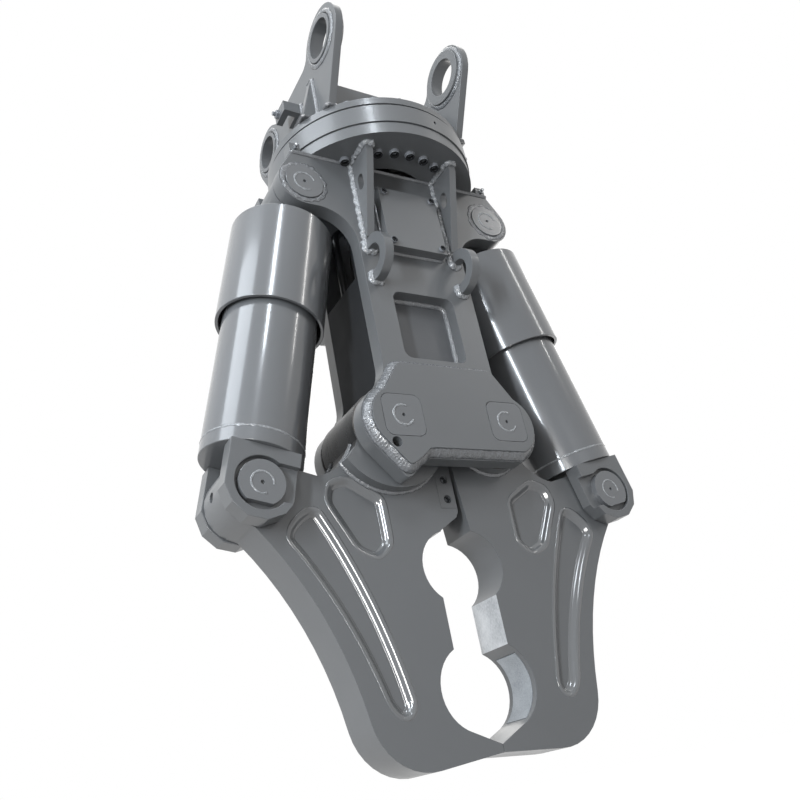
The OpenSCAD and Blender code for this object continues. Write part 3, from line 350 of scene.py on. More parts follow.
# The hubs' sides, where the frame hides them, are painted nearly black as painted shade, and kept
# glossy.
HUB_GREY = GlossEnamel("painted_shade_on_hubs", "grey_paint", "#222324", "#1a1b1c", 0.28,
                       peel_mm=5.0, wave_mm=24.0, coat=0.0, specular=0.15)
# Bought-in castings keep their maker's black enamel, which gives soft low highlights.
BLACK_ENAMEL = GlossEnamel("black_enamel_on_castings", "black_paint", "#1b1c1e", "#232427", 0.4)
# Nitrile rubber is matt black with a fine pebbled skin.
SEAL_RUBBER = WeldEnamel("black_rubber_seal", "black_paint", "#17181a", "#1f2022", 0.55,
                         grain_mm=1.2, relief_mm=0.1)
# Ground steel keeps fine scratches along one way, which spread its reflections across them.
GROUND_STEEL = WorkedMetal("ground_steel_tooth", "bare_steel", "#e6e8ea", "#a6aaae", 0.40, 0.7,
                           mark_mm=2.2, stretch=(1, 1, 0.35))
# Shot blasting leaves cast steel pale and even, without a mirror image.
CAST_STEEL = WorkedMetal("shot_blasted_liner_steel", "bare_steel", "#b9bdc1", "#8d9297", 0.5, 0.55,
                         mark_mm=3.0, relief_mm=0.5)
# Turned and oiled steel is mid grey with fine marks.
TURNED_STEEL = WorkedMetal("turned_ring_steel", "bare_steel", "#a9acaf", "#8d9093", 0.36, 1.0)
# Hard chrome is ground and polished to a clear bright mirror.
ROD_CHROME = WorkedMetal("hard_chrome_on_rod", "hard_chrome", "#cfd0d2", "#c2c4c6", 0.10, 1.0,
                         mark_mm=1.0, relief_mm=0.01, spread=0.03)
# Bearing bronze is a warm yellow brown with fine marks.
BUSH_BRONZE = WorkedMetal("turned_bronze_bush", "bronze", "#b98b4a", "#9c7238", 0.34, 1.0)


class Bench:
    """Modelling steps with Blender's own tools."""

    @staticmethod
    def pick(*objects: bpy.types.Object) -> None:
        """Selects only these objects and makes the first one active.

        Args:
            objects: the objects to select.
        """
        bpy.ops.object.select_all(action="DESELECT")
        for item in objects:
            item.select_set(True)
        bpy.context.view_layer.objects.active = objects[0]

    @classmethod
    def take(cls, node: str, name: str) -> bpy.types.Object:
        """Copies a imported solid, merges its loose triangles and clears its flat faces.

        Args:
            node: name of the solid.
            name: name of the new piece.

        Returns:
            The new piece with its own mesh.
        """
        piece = bpy.data.objects.new(name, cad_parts[node].data.copy())
        bpy.context.scene.collection.objects.link(piece)
        cls.pick(piece)
        piece.data.materials.clear()
        bpy.ops.object.mode_set(mode="EDIT")
        bpy.ops.mesh.select_all(action="SELECT")
        bpy.ops.mesh.customdata_custom_splitnormals_clear()
        bpy.ops.mesh.remove_doubles(threshold=MERGE)
        bpy.ops.mesh.dissolve_limited(angle_limit=math.radians(FLAT_ANGLE))
        bpy.ops.mesh.select_all(action="DESELECT")
        cls.leave()
        return piece

    @classmethod
    def soften(cls, piece: bpy.types.Object, width: float, segments: int = 2,
               crease: float = CREASE_ANGLE) -> None:
        """Rounds the sharp edges and smooths the shading.

        Args:
            piece: the piece to finish.
            width: width of the rounding in millimetres.
            segments: faces across each rounding.
            crease: angle in degrees from which an edge stays sharp in the shading.
        """
        cls.pick(piece)
        if width > 0:
            bevel = piece.modifiers.new("rounded_edges", "BEVEL")
            bevel.width = width * MM
            bevel.segments = segments
            bevel.limit_method = "ANGLE"
            bevel.angle_limit = math.radians(EDGE_ANGLE)
            bevel.use_clamp_overlap = True
            bevel.harden_normals = False
            bpy.ops.object.modifier_apply(modifier=bevel.name)
        bpy.ops.object.shade_smooth_by_angle(angle=math.radians(crease))
        level = piece.modifiers.new("flat_faces", "WEIGHTED_NORMAL")
        level.keep_sharp = True
        level.weight = 100
        bpy.ops.object.modifier_apply(modifier=level.name)

    @classmethod
    def cut(cls, piece: bpy.types.Object, tool: bpy.types.Object) -> None:
        """Cuts a tool's shape out of a piece and removes the tool.

        Args:
            piece: the piece to cut.
            tool: the closed shape to take away.
        """
        cls.pick(piece)
        hollow = piece.modifiers.new("hollow", "BOOLEAN")
        hollow.operation = "DIFFERENCE"
        hollow.solver = "EXACT"
        hollow.object = tool
        bpy.ops.object.modifier_apply(modifier=hollow.name)
        bpy.data.objects.remove(tool)

    @classmethod
    def edit(cls, piece: bpy.types.Object,
             chosen: Callable[[bmesh.types.BMFace], bool] | None = None) -> None:
        """Enters edit mode with the faces that a test names selected.

        Args:
            piece: the piece to edit.
            chosen: test on a face, or None for all faces.
        """
        cls.pick(piece)
        bpy.ops.object.mode_set(mode="EDIT")
        bpy.ops.mesh.select_mode(type="FACE")
        bpy.ops.mesh.select_all(action="DESELECT")
        shape = bmesh.from_edit_mesh(piece.data)
        for face in shape.faces:
            face.select_set(chosen is None or chosen(face))
        shape.select_flush_mode()
        bmesh.update_edit_mesh(piece.data)

    @staticmethod
    def leave() -> None:
        """Returns to object mode."""
        bpy.ops.object.mode_set(mode="OBJECT")

    @classmethod
    def join(cls, pieces: Sequence[bpy.types.Object], name: str) -> bpy.types.Object:
        """Joins pieces into one object at the origin.

        Args:
            pieces: objects to join.
            name: name of the result.

        Returns:
            The joined object.
        """
        cls.pick(*pieces)
        bpy.ops.object.transform_apply(location=True, rotation=True, scale=True)
        if len(pieces) > 1:
            bpy.ops.object.join()
        result = bpy.context.view_layer.objects.active
        result.name = name
        result.data.name = name
        return result

    @classmethod
    def spread(cls, template: bpy.types.Object, places: Iterable[Matrix],
               name: str) -> bpy.types.Object:
        """Copies a template to each place and joins the copies.

        Args:
            template: a piece at the origin; it is removed afterwards.
            places: one matrix per copy.
            name: name of the result.

        Returns:
            The joined copies.
        """
        copies = []
        for place in places:
            copy = bpy.data.objects.new(name, template.data.copy())
            bpy.context.scene.collection.objects.link(copy)
            copy.data.transform(place)
            copies.append(copy)
        bpy.data.objects.remove(template)
        return cls.join(copies, name)


def settle(piece: bpy.types.Object, body: str, finish: Finish, *nodes: str) -> bpy.types.Object:
    """Gives a piece its finish and its body, and hides the solids that it stands for.

    Args:
        piece: the finished mesh.
        body: body that it rides on.
        finish: its main finish.
        nodes: solids that it replaces.

    Returns:
        The same piece.
    """
    if not piece.data.materials:
        piece.data.materials.append(finish.material())
    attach(piece, body)
    if nodes:
        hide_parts(*nodes)
    LOG.info("%s on %s: %d faces", piece.name, body, len(piece.data.polygons))
    return piece


def skin(node: str, body: str, finish: Finish, width: float = 2.0, segments: int = 2,
         crease: float = CREASE_ANGLE) -> bpy.types.Object:
    """Replaces a solid by its copy with rounded edges.

    Args:
        node: name of the solid.
        body: body that it belongs to.
        finish: finish of the copy.
        width: width of the rounding in millimetres.
        segments: faces across each rounding.
        crease: angle in degrees from which an edge stays sharp in the shading.

    Returns:
        The new piece.
    """
    piece = Bench.take(node, node + "_finished")
    Bench.soften(piece, width, segments, crease)
    return settle(piece, body, finish, node)


@dataclass
class Line:
    """A path on a surface: points, the way out along the surface and the way up from it.

    An up of zero length means that a bead stands up along out, as on a tube.
    """

    points: list[Vector]
    out: list[Vector]
    up: Vector
    closed: bool = True

    @classmethod
    def around(cls, centre: Vector, axis: Vector, radius: float, start: float = 0.0,
               end: float = 360.0) -> "Line":
        """Arc round an axis; the surface's up is the axis.

        Args:
            centre: centre in metres.
            axis: direction that the bead stands up in.
            radius: radius in millimetres.
            start: first angle in degrees.
            end: last angle in degrees.

        Returns:
            The line, closed where it goes all the way round.
        """
        first = axis.orthogonal().normalized()
        second = axis.cross(first).normalized()
        count = max(int(abs(end - start) / ARC_STEP), 3)
        angles = [math.radians(start + (end - start) * i / count) for i in range(count + 1)]
        closed = abs(end - start) >= 359.9
        if closed:
            angles = angles[:-1]
        out = [first * math.cos(a) + second * math.sin(a) for a in angles]
        return cls([centre + o * radius * MM for o in out], out, axis.normalized(), closed)

    @classmethod
    def tube(cls, centre: Vector, axis: Vector, radius: float) -> "Line":
        """Draws a ring round a tube, on which a bead stands up radially.

        Args:
            centre: centre in metres.
            axis: direction of the tube.
            radius: radius in millimetres.

        Returns:
            The closed line.
        """
        ring = cls.around(centre, axis, radius)
        ring.up = Vector()
        return ring

    @classmethod
    def feet(cls, node: str, at: Vector, axis: Vector, least_mm: float = 20.0) -> list["Line"]:
        """Outlines of the faces that a solid sets on a plane.

        Args:
            node: name of the solid.
            at: a point of the plane, in metres.
            axis: direction from the plane into the solid.
            least_mm: shortest outline that counts.

        Returns:
            One closed line per outline.
        """
        shape = bmesh.new()
        shape.from_mesh(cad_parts[node].data)
        bmesh.ops.remove_doubles(shape, verts=shape.verts, dist=MERGE)
        near = {v for v in shape.verts if abs((v.co - at).dot(axis)) < ON_PLANE * MM}
        flat = [f for f in shape.faces if all(v in near for v in f.verts)]
        known = set(flat)
        following: dict[bmesh.types.BMVert, list[bmesh.types.BMVert]] = {}
        for face in flat:
            for loop in face.loops:
                others = [f for f in loop.edge.link_faces if f is not face]
                if not any(f in known for f in others):
                    following.setdefault(loop.vert, []).append(loop.link_loop_next.vert)
        lines = []
        while following:
            here, path = next(iter(following)), []
            while here in following:
                path.append(here.co.copy())
                nexts = following[here]
                ahead = nexts.pop()
                if not nexts:
                    del following[here]
                here = ahead
            length = sum((b - a).length for a, b in zip(path, path[1:] + path[:1]))
            if length > least_mm * MM:
                lines.append(cls(path, cls.sideways(path, -axis), axis.normalized()))
        shape.free()
        return lines

    @staticmethod
    def sideways(path: list[Vector], facing: Vector) -> list[Vector]:
        """Outward direction at each point of a loop that runs round a face.

        Args:
            path: the loop's points.
            facing: the face's normal.

        Returns:
            One unit vector per point.
        """
        result = []
        for i, here in enumerate(path):
            ahead = (path[(i + 1) % len(path)] - here).normalized()
            behind = (here - path[i - 1]).normalized()
            way = (ahead + behind).cross(facing)
            if way.length < 1e-6:
                way = ahead.cross(facing)
            result.append(way.normalized())
        return result

    def part(self, keep: Callable[[Vector], bool]) -> list["Line"]:
        """Open stretches of the line whose finely spaced points pass a test.

        Args:
            keep: test on a point in metres.

        Returns:
            The stretches, in order.
        """
        fine = self.fine(LINE_STEP)
        flags = [keep(p) for p, _ in fine]
        if all(flags):
            return [self]
        runs: list[list] = []
        start = flags.index(False) if self.closed else 0
        for i in range(len(fine)):
            j = (start + i) % len(fine)
            if flags[j]:
                if i == 0 or not flags[(j - 1) % len(fine)] or not runs:
                    runs.append([])
                runs[-1].append(fine[j])
        return [Line([p for p, _ in run], [o for _, o in run], self.up, False)
                for run in runs if len(run) > 3]

    def fine(self, step: float) -> list[tuple[Vector, Vector]]:
        """Points and outward directions at an even spacing, turning at convex corners.

        Args:
            step: spacing in millimetres.

        Returns:
            Pairs of place and outward direction.
        """
        result = []
        count = len(self.points)
        spans = count if self.closed else count - 1
        for i in range(spans):
            a, b = self.points[i], self.points[(i + 1) % count]
            oa, ob = self.out[i], self.out[(i + 1) % count]
            way = b - a
            if self.closed and self.up.length:
                flat = way.normalized().cross(self.up)
                flat = flat if flat.dot(oa + ob) > 0 else -flat
                oa, ob = self.ease(oa, flat), self.ease(ob, flat)
            steps = max(int(round(way.length / (step * MM))), 1)
            for k in range(steps):
                t = k / steps
                result.append((a.lerp(b, t), oa.lerp(ob, t).normalized()))
            if self.closed and (ob - self.out[(i + 1) % count]).length > CORNER_GAP:
                result.append((b.copy(), ob))
        if not self.closed:
            result.append((self.points[-1].copy(), self.out[-1]))
        return result

    @staticmethod
    def ease(corner: Vector, flat: Vector) -> Vector:
        """The corner's direction where the bend is slight, else the straight side's own."""
        return corner if corner.dot(flat) > SLIGHT_BEND else flat


@dataclass(frozen=True)
class Weld:
    """A weld bead with chevron ripples, laid along lines.

    The three waves are how often per metre its width, its height and its lumps wander.
    """

    out_mm: float
    up_mm: float
    pitch_mm: float = 6.0
    seam: Seam = Seam.FILLET
    swell: float = 0.22
    uneven: float = 0.10
    across: int = 6
    chevron: float = 0.45
    lump: float = 0.35
    sink_mm: float = 1.2
    waves: tuple[float, float, float] = (90.0, 110.0, 260.0)
    seed: int = 3

    def section(self, t: float, s: float, p: Vector, out: Vector, up: Vector) -> Vector:
        """Place of one point of the bead.

        Args:
            t: share of the way across the bead, from 0 to 1.
            s: length along the line in millimetres.
            p: place on the line.
            out: outward direction there.
            up: upward direction there.

        Returns:
            The point in metres.
        """
        width_wave, height_wave, lump_wave = self.waves
        wander = noise.noise(p * width_wave + Vector((self.seed, 0, 0)))
        width = self.out_mm * (1 + self.uneven * wander)
        height = self.up_mm * (1 + self.uneven * noise.noise(p * height_wave))
        arch = math.sin(math.pi * t)
        phase = (s + self.chevron * self.pitch_mm * arch) / self.pitch_mm
        ripple = 0.5 + 0.5 * abs(math.sin(math.pi * phase))
        lump = self.lump * noise.noise(p * lump_wave + up * t * 2)
        if self.seam is Seam.FLAT:
            rise = height * arch * (0.65 + 0.35 * ripple + lump)
            return p + (out * width * (1 - 2 * t) + up * rise) * MM
        belly = self.swell * min(width, height) * arch * (ripple + lump)
        lean = (out * height + up * width).normalized()
        return p + (out * width * (1 - t) + up * height * t + lean * belly) * MM

    def lay(self, lines: Sequence[Line], name: str) -> bpy.types.Object:
        """Builds the beads on all the lines as one mesh.

        Args:
            lines: the lines to weld.
            name: name of the piece.

        Returns:
            The new piece.
        """
        tubes = []
        foot = 0.0 if self.seam is Seam.FLAT else self.sink_mm
        for line in lines:
            path = line.fine(self.pitch_mm / 4)
            rings, s = [], 0.0
            for i, (p, out) in enumerate(path):
                s += (p - path[i - 1][0]).length / MM if i else 0.0
                up = line.up if line.up.length else out
                side = out if line.up.length else line_axis(path, i).cross(out).normalized()
                ring = [self.section(k / self.across, s, p, side, up)
                        for k in range(self.across + 1)]
                ring.append(p - (side * foot + up * self.sink_mm) * MM)
                rings.append(ring)
            tubes.append((rings, line.closed))
        return loft(tubes, name)


@dataclass(frozen=True)
class Lining:
    """The soft rolled wall of a pocket, from the plate's face down to the pocket's floor.

    Its profile gives, for shares of the way in from the rim, the height over the plate's face.
    """

    depth: float
    rim: float = 6.0
    reach: float = 17.0
    passes: int = 40
    rim_passes: int = 22
    profile: tuple[tuple[float, float], ...] = (
        (0.0, 0.15), (0.14, 0.15), (0.28, -0.25), (0.40, -1.4), (0.51, -3.4), (0.61, -6.0),
        (0.71, -8.5), (0.82, -10.4), (0.92, -11.4), (1.0, -11.8), (1.0, -13.0), (0.0, -1.0))

    def lay(self, lines: Sequence[Line], name: str) -> bpy.types.Object:
        """Builds the linings of the pockets whose floors have these outlines.

        Args:
            lines: outlines of the floors, whose up points into the plate.
            name: name of the piece.

        Returns:
            The new piece.
        """
        tubes = []
        for line in lines:
            path = line.fine(LINE_STEP)
            high = self.smooth([p + out * self.rim * MM for p, out in path], self.rim_passes)
            low = self.smooth([p - out * self.reach * MM for p, out in path], self.passes)
            rings = [[head.lerp(foot, t) - line.up * (self.depth + rise) * MM
                      for t, rise in self.profile] for head, foot in zip(high, low)]
            tubes.append((rings, True))
        return loft(tubes, name)

    @staticmethod
    def smooth(path: list[Vector], passes: int) -> list[Vector]:
        """Rounds the corners of a closed path by averaging each point with its neighbours.

        Args:
            path: the path's points.
            passes: how many times to average.

        Returns:
            As many points on a rounder path.
        """
        for _ in range(passes):
            path = [path[i - 1] * 0.25 + p * 0.5 + path[(i + 1) % len(path)] * 0.25
                    for i, p in enumerate(path)]
        return path


def loft(tubes: Sequence[tuple[list[list[Vector]], bool]], name: str) -> bpy.types.Object:
    """Joins rings of points into tubes of one mesh.

    Every ring of a bead or lining differs, which no primitive gives, so they are written point
    by point.

    Args:
        tubes: for each tube its rings, and whether its last ring meets its first.
        name: name of the piece.

    Returns:
        The new piece.
    """
    verts: list[Vector] = []
    faces: list[tuple[int, ...]] = []
    for rings, closed in tubes:
        base, size, count = len(verts), len(rings[0]), len(rings)
        for ring in rings:
            verts += ring
        for i in range(count if closed else count - 1):
            a, b = base + i * size, base + (i + 1) % count * size
            faces += [(a + k, b + k, b + (k + 1) % size, a + (k + 1) % size) for k in range(size)]
        if not closed:
            faces.append(tuple(base + k for k in range(size)))
            faces.append(tuple(base + (count - 1) * size + k for k in reversed(range(size))))
    mesh = bpy.data.meshes.new(name)
    mesh.from_pydata(verts, [], faces)
    mesh.update()
    piece = bpy.data.objects.new(name, mesh)
    bpy.context.scene.collection.objects.link(piece)
    Bench.edit(piece)
    bpy.ops.mesh.normals_make_consistent(inside=False)
    Bench.leave()
    bpy.ops.object.shade_smooth()
    return piece


def line_axis(path: list[tuple[Vector, Vector]], i: int) -> Vector:
    """Direction of travel at point i of a closed path."""
    return (path[(i + 1) % len(path)][0] - path[i - 1][0]).normalized()


@dataclass(frozen=True)
class CapScrew:
    """A socket head cap screw whose head lies below the origin and whose shank runs up."""

    shank_r: float
    length: float
    head_r: float
    head_h: float
    key_share: float = 0.6
    edge_share: float = 0.09
    # Socket walls between these shares of the head's height get the dark enamel as painted shade.
    dark_from: float = 0.2
    dark_to: float = 0.9

    def template(self) -> bpy.types.Object:
        """Models the screw once: turned head with a hexagon socket, chamfered edges.

        Returns:
            The screw at the origin.
        """
        head_r, head_h = self.head_r * MM, self.head_h * MM
        bpy.ops.object.select_all(action="DESELECT")
        bpy.ops.mesh.primitive_cylinder_add(vertices=32, radius=head_r, depth=head_h,
                                            location=(0, 0, -head_h / 2))
        head = bpy.context.active_object
        Bench.edit(head, lambda f: f.normal.z > 0.9)
        bpy.ops.mesh.inset(thickness=head_r - self.shank_r * MM)
        bpy.ops.mesh.extrude_region_move(
            TRANSFORM_OT_translate={"value": (0, 0, self.length * MM)})
        Bench.leave()
        bpy.ops.mesh.primitive_cylinder_add(vertices=6, radius=self.key_share * head_r,
                                            depth=head_h, location=(0, 0, -head_h))
        Bench.cut(head, bpy.context.active_object)
        Bench.soften(head, self.edge_share * self.head_r)
        # The head takes the bolt enamel; the deep socket walls take the dark enamel as painted shade.
        head.data.materials.append(BOLT_GREY.material())
        head.data.materials.append(DEEP_GREY.material())
        for face in head.data.polygons:
            spot = face.center
            inside = math.hypot(spot.x, spot.y) < self.key_share * head_r
            deep = self.dark_from < -spot.z / head_h < self.dark_to
            face.material_index = int(inside and deep)
        return head


def along(direction: Vector, place: Vector) -> Matrix:
    """Matrix that turns +Z to a direction and moves the origin to a place."""
    return Matrix.Translation(place) @ direction.to_track_quat("Z", "Y").to_matrix().to_4x4()


def turned(name: str, profile: Sequence[tuple[float, float]], steps: int = 32) -> bpy.types.Object:
    """Turns a profile about the Z axis, as on a lathe.

    Args:
        name: name of the piece.
        profile: pairs of radius and height in millimetres, with closed ends or as a closed ring.
        steps: number of sides.

    Returns:
        The turned piece at the origin.
    """
    bpy.ops.object.select_all(action="DESELECT")
    bpy.ops.mesh.primitive_plane_add(size=MM)
    piece = bpy.context.active_object
    piece.name = name
    bpy.ops.object.mode_set(mode="EDIT")
    bpy.ops.mesh.select_all(action="SELECT")
    bpy.ops.mesh.delete(type="EDGE_FACE")
    shape = bmesh.from_edit_mesh(piece.data)
    for vert in list(shape.verts)[1:]:
        shape.verts.remove(vert)
    shape.verts.ensure_lookup_table()
    first = shape.verts[0]
    first.co = Vector((profile[0][0], 0, profile[0][1])) * MM
    first.select_set(True)
    bmesh.update_edit_mesh(piece.data)
    for (r0, z0), (r1, z1) in zip(profile, profile[1:]):
        bpy.ops.mesh.extrude_vertices_move(
            TRANSFORM_OT_translate={"value": ((r1 - r0) * MM, 0, (z1 - z0) * MM)})
    bpy.ops.mesh.select_all(action="SELECT")
    bpy.ops.mesh.spin(steps=steps, angle=math.tau, center=(0, 0, 0), axis=(0, 0, 1))
    bpy.ops.mesh.select_all(action="SELECT")
    bpy.ops.mesh.remove_doubles(threshold=MERGE)
    bpy.ops.mesh.normals_make_consistent(inside=False)
    Bench.leave()
    bpy.ops.object.shade_smooth_by_angle(angle=math.radians(CREASE_ANGLE))
    return piece


def skin_all(skins: dict[str, tuple[Finish, float]], body: str) -> None:
    """Replaces each solid in a table of finish and rounding by its copy with rounded edges."""
    for node, (finish, width) in skins.items():
        skin(node, body, finish, width)


@dataclass
class Carrier:
    """The part that the excavator's arm carries: ears, flange, stop block, motor and swivel."""

    flange_top: float = 867.0
    flange_low: float = 837.0
    ear_in: float = 187.0
    ear_out: float = 209.0
    arm_at: tuple[float, float] = (-ARM_PIN_FORWARD, ARM_PIN_HEIGHT)
    link_at: tuple[float, float] = (178.0, 1049.0)
    arm_boss_r: float = 78.0
    link_boss_r: float = 70.0
    arm_collar_r: float = 64.5
    link_collar_r: float = 59.5
    collar_gap: float = 3.0
    bolt_circle_r: float = 263.0
    bolt_count: int = 24
    # No screw's axis comes nearer than this to an ear's inner or outer side.
    clear_in: float = 14.0
    clear_out: float = 23.5
    groove_top: float = 842.0
    groove_lift: float = 4.0
    seal_rise: float = 0.5
    seal_profile: tuple[tuple[float, float], ...] = (
        (272, 0), (275.6, 0.4), (276.4, 2), (275.6, 3.6), (272, 4), (272, 0))
    foot_bead: Weld = Weld(11, 13, 8)
    rib_bead: Weld = Weld(8, 8, 6)
    ring_bead: Weld = Weld(12, 4.5, 6, swell=0.5, uneven=0.25)
    screw: CapScrew = CapScrew(8, 60, 13.2, 18)
    skins: dict[str, tuple[Finish, float]] = field(default_factory=lambda: {
        "carrier_ear_left": (PLATE_GREY, 2.0), "carrier_ear_right": (PLATE_GREY, 2.0),
        "ear_cross_plate": (PLATE_GREY, 2.0), "ear_ribs": (PLATE_GREY, 2.0),
        "pin_stop_block": (PLATE_GREY, 1.0), "slew_outer_ring": (PLATE_GREY, 1.0),
        "slew_motor": (BLACK_ENAMEL, 2.5), "swivel_housing": (BLACK_ENAMEL, 1.5),
        "pin_stop_bolt": (BOLT_GREY, 0.8)})

    def build(self) -> None:
        """Makes every piece of the carrier."""
        skin_all(self.skins, "carrier")
        self.flange()
        self.welds()
        self.bolts()
        self.seal()

    def flange(self) -> None:
        """Gives the upper flange a deeper shadow groove than the solid's, as dust fills it."""
        piece = Bench.take("carrier_flange", "carrier_flange_finished")
        top = row(0, 0, self.groove_top).z
        for vert in piece.data.vertices:
            if abs(vert.co.z - top) < 0.1 * MM:
                vert.co.z += self.groove_lift * MM
        Bench.soften(piece, 1.0)
        settle(piece, "carrier", PLATE_GREY, "carrier_flange")

    def welds(self) -> None:
        """Lays the beads of the ears, ribs, cross plate, collars and stop block."""
        deck = row(0, 0, self.flange_top)
        feet = [line for side in Side for line in Line.feet("carrier_ear_" + side.word, deck, Z_AXIS)]
        ribs = Line.feet("ear_ribs", deck, Z_AXIS) + Line.feet("ear_cross_plate", deck, Z_AXIS)
        ribs += Line.feet("pin_stop_block", row(-self.ear_out, 0, 0), -X_AXIS)
        rings = []
        bores = ((self.arm_at, self.arm_collar_r, self.arm_boss_r),
                 (self.link_at, self.link_collar_r, self.link_boss_r))
        for side in Side:
            out = X_AXIS * side.value
            outer, inner = side.value * self.ear_out, side.value * self.ear_in
            ribs += Line.feet("ear_ribs", row(outer, 0, 0), out)
            ribs += Line.feet("ear_cross_plate", row(inner, 0, 0), -out)
            for (y, z), collar, boss in bores:
                rings.append(Line.around(row(outer, y, z), out, collar + self.collar_gap))
                rings.append(Line.around(row(inner, y, z), -out, boss))
        settle(self.foot_bead.lay(feet, "ear_foot_welds"), "carrier", WELD_GREY)
        settle(self.rib_bead.lay(ribs, "rib_welds"), "carrier", WELD_GREY)
        settle(self.ring_bead.lay(rings, "bore_ring_welds"), "carrier", WELD_GREY)

    def bolts(self) -> None:
        """Sets the cap screws that hold the outer ring, clear of the ears."""
        places = []
        for i in range(self.bolt_count):
            angle = math.tau * (i + 0.5) / self.bolt_count
            x, y = self.bolt_circle_r * math.cos(angle), self.bolt_circle_r * math.sin(angle)
            if not self.ear_in - self.clear_in <= abs(x) <= self.ear_out + self.clear_out:
                places.append(along(-Z_AXIS, row(x, y, self.flange_top)))
        piece = Bench.spread(self.screw.template(), places, "outer_ring_screws")
        settle(piece, "carrier", BOLT_GREY, "outer_ring_bolts")

    def seal(self) -> None:
        """Puts a rubber lip in the groove under the upper flange."""
        ring = turned("ring_groove_seal", self.seal_profile, 96)
        ring.data.transform(Matrix.Translation(row(0, 0, self.flange_low + self.seal_rise)))
        settle(ring, "carrier", SEAL_RUBBER)


@dataclass
class MainFrame:
    """The welded frame under the slewing ring, with its pads, covers, gussets and eyes."""

    plate_out: float = 129.0
    plate_in: float = 89.0
    pad_out: float = 152.0
    pad_seat_mm: float = 800.0
    cover_seat_mm: float = 600.0
    flange_z: float = 746.0
    pivot_x: float = PIVOT_X
    cyl_pin: tuple[float, float] = CYLINDER_PIN
    cap_r: float = 50.0
    cap_rise: float = 4.0
    rim_gap: float = 6.0
    # Plug welds: radius, then first and last angle in degrees.
    cyl_plug: tuple[float, float, float] = (27.0, 150.0, 430.0)
    pivot_plug: tuple[float, float, float] = (25.0, 200.0, 470.0)
    bolt_circle_r: float = 212.0
    bolt_angles: tuple[int, ...] = (0, 12, 24, 48, 72, 84, 96, 108, 132, 156, 168, 180)
    cover_bolt_x: float = 72.0
    cover_bolt_z: tuple[float, float] = (489.0, 645.0)
    cover_out: float = 160.0
    # Window recess: half its width, its lower and its upper edge.
    window: tuple[float, float, float] = (88.0, 167.0, 355.0)
    window_r: float = 22.0
    pad_bead: Weld = Weld(15, 20, 7, swell=0.16, uneven=0.12, across=8)
    gusset_bead: Weld = Weld(10, 10, 5, uneven=0.45)
    eye_bead: Weld = Weld(11, 11, 7, uneven=0.45)
    cover_bead: Weld = Weld(6, 6, 6)
    flange_bead: Weld = Weld(6, 7, 7)
    window_bead: Weld = Weld(9, 9, 6)
    cap_bead: Weld = Weld(7, 2, 6, Seam.FLAT, uneven=0.7)
    plug_bead: Weld = Weld(3, 1.3, 5, Seam.FLAT, uneven=0.6)
    screw: CapScrew = CapScrew(8, 60, 13.6, 20)
    cover_screw: CapScrew = CapScrew(6, 28, 9, 12)
    skins: dict[str, tuple[Finish, float]] = field(default_factory=lambda: {
        "lower_flange": (PLATE_GREY, 2.0), "front_plate": (PLATE_GREY, 2.0),
        "back_plate": (PLATE_GREY, 2.0), "front_pad": (PLATE_GREY, 1.6),
        "back_pad": (PLATE_GREY, 1.6), "gussets": (PLATE_GREY, 2.0),
        "cover_seats": (PLATE_GREY, 2.0), "access_covers": (PLATE_GREY, 1.2),
        "lifting_eyes": (PLATE_GREY, 1.2), "grease_lugs": (PLATE_GREY, 2.0),
        # The side webs and inner plates get darker enamels as painted shade.
        "side_webs": (DEEP_GREY, 2.0), "inner_plates": (FRAME_SHADE_GREY, 2.0),
        "pivot_pins": (TUBE_GREY, 1.4), "cylinder_pins": (TUBE_GREY, 1.4),
        "grease_nipples": (TURNED_STEEL, 0.5), "hydraulic_lines": (BLACK_ENAMEL, 0.0),
        "swivel_spool": (TURNED_STEEL, 2.0)})

    def build(self) -> None:
        """Makes every piece of the frame."""
        skin_all(self.skins, "frame")
        self.pad_welds()
        self.plate_welds()
        self.window_welds()
        self.pin_welds()
        self.flange_bolts()
        self.cover_bolts()

    def seats(self, node: str, face: Face, least_mm: float = 20.0) -> list[Line]:
        """Outlines where a solid sits on the outside of one plate."""
        seat = row(0, face.value * self.plate_out, 0)
        return Line.feet(node, seat, Y_AXIS * face.value, least_mm)

    def pad_welds(self) -> None:
        """Fills the seat all round each pad with a heavy bead up to the pad's edge."""
        for face in Face:
            lines = self.seats(face.word + "_pad", face, self.pad_seat_mm)
            settle(self.pad_bead.lay(lines, face.word + "_pad_weld"), "frame", WELD_GREY)

    def plate_welds(self) -> None:
        """Lays the beads of gussets, eyes, cover seats and flange."""
        under = row(0, 0, self.flange_z)
        gussets, eyes, covers, plates = Line.feet("gussets", under, -Z_AXIS), [], [], []
        for face in Face:
            gussets += self.seats("gussets", face)
            eyes += self.seats("lifting_eyes", face)
            covers += self.seats("cover_seats", face, self.cover_seat_mm)
            plates += Line.feet(face.word + "_plate", under, -Z_AXIS)
        settle(self.gusset_bead.lay(gussets, "gusset_welds"), "frame", SPATTER_AND_HIGHLIGHT_GREY)
        settle(self.eye_bead.lay(eyes, "eye_welds"), "frame", SPATTER_AND_HIGHLIGHT_GREY)
        settle(self.cover_bead.lay(covers, "cover_seat_welds"), "frame", WELD_GREY)
        settle(self.flange_bead.lay(plates, "flange_welds"), "frame", WELD_GREY)

    def window_welds(self) -> None:
        """Lays a bead round the bottom of each window recess."""
        middle_z = sum(self.window[1:]) / 2
        lines = []
        for face in Face:
            depth = self.plate_in * face.value
            path = [row(x, depth, z) for x, z in self.window_outline()][::-face.value]
            middle = row(0, depth, middle_z)
            sides = Line.sideways(path, Y_AXIS * -face.value)
            inwards = [v if v.dot(middle - p) > 0 else -v for v, p in zip(sides, path)]
            lines.append(Line(path, inwards, Y_AXIS * face.value))
        settle(self.window_bead.lay(lines, "window_welds"), "frame", WELD_GREY)

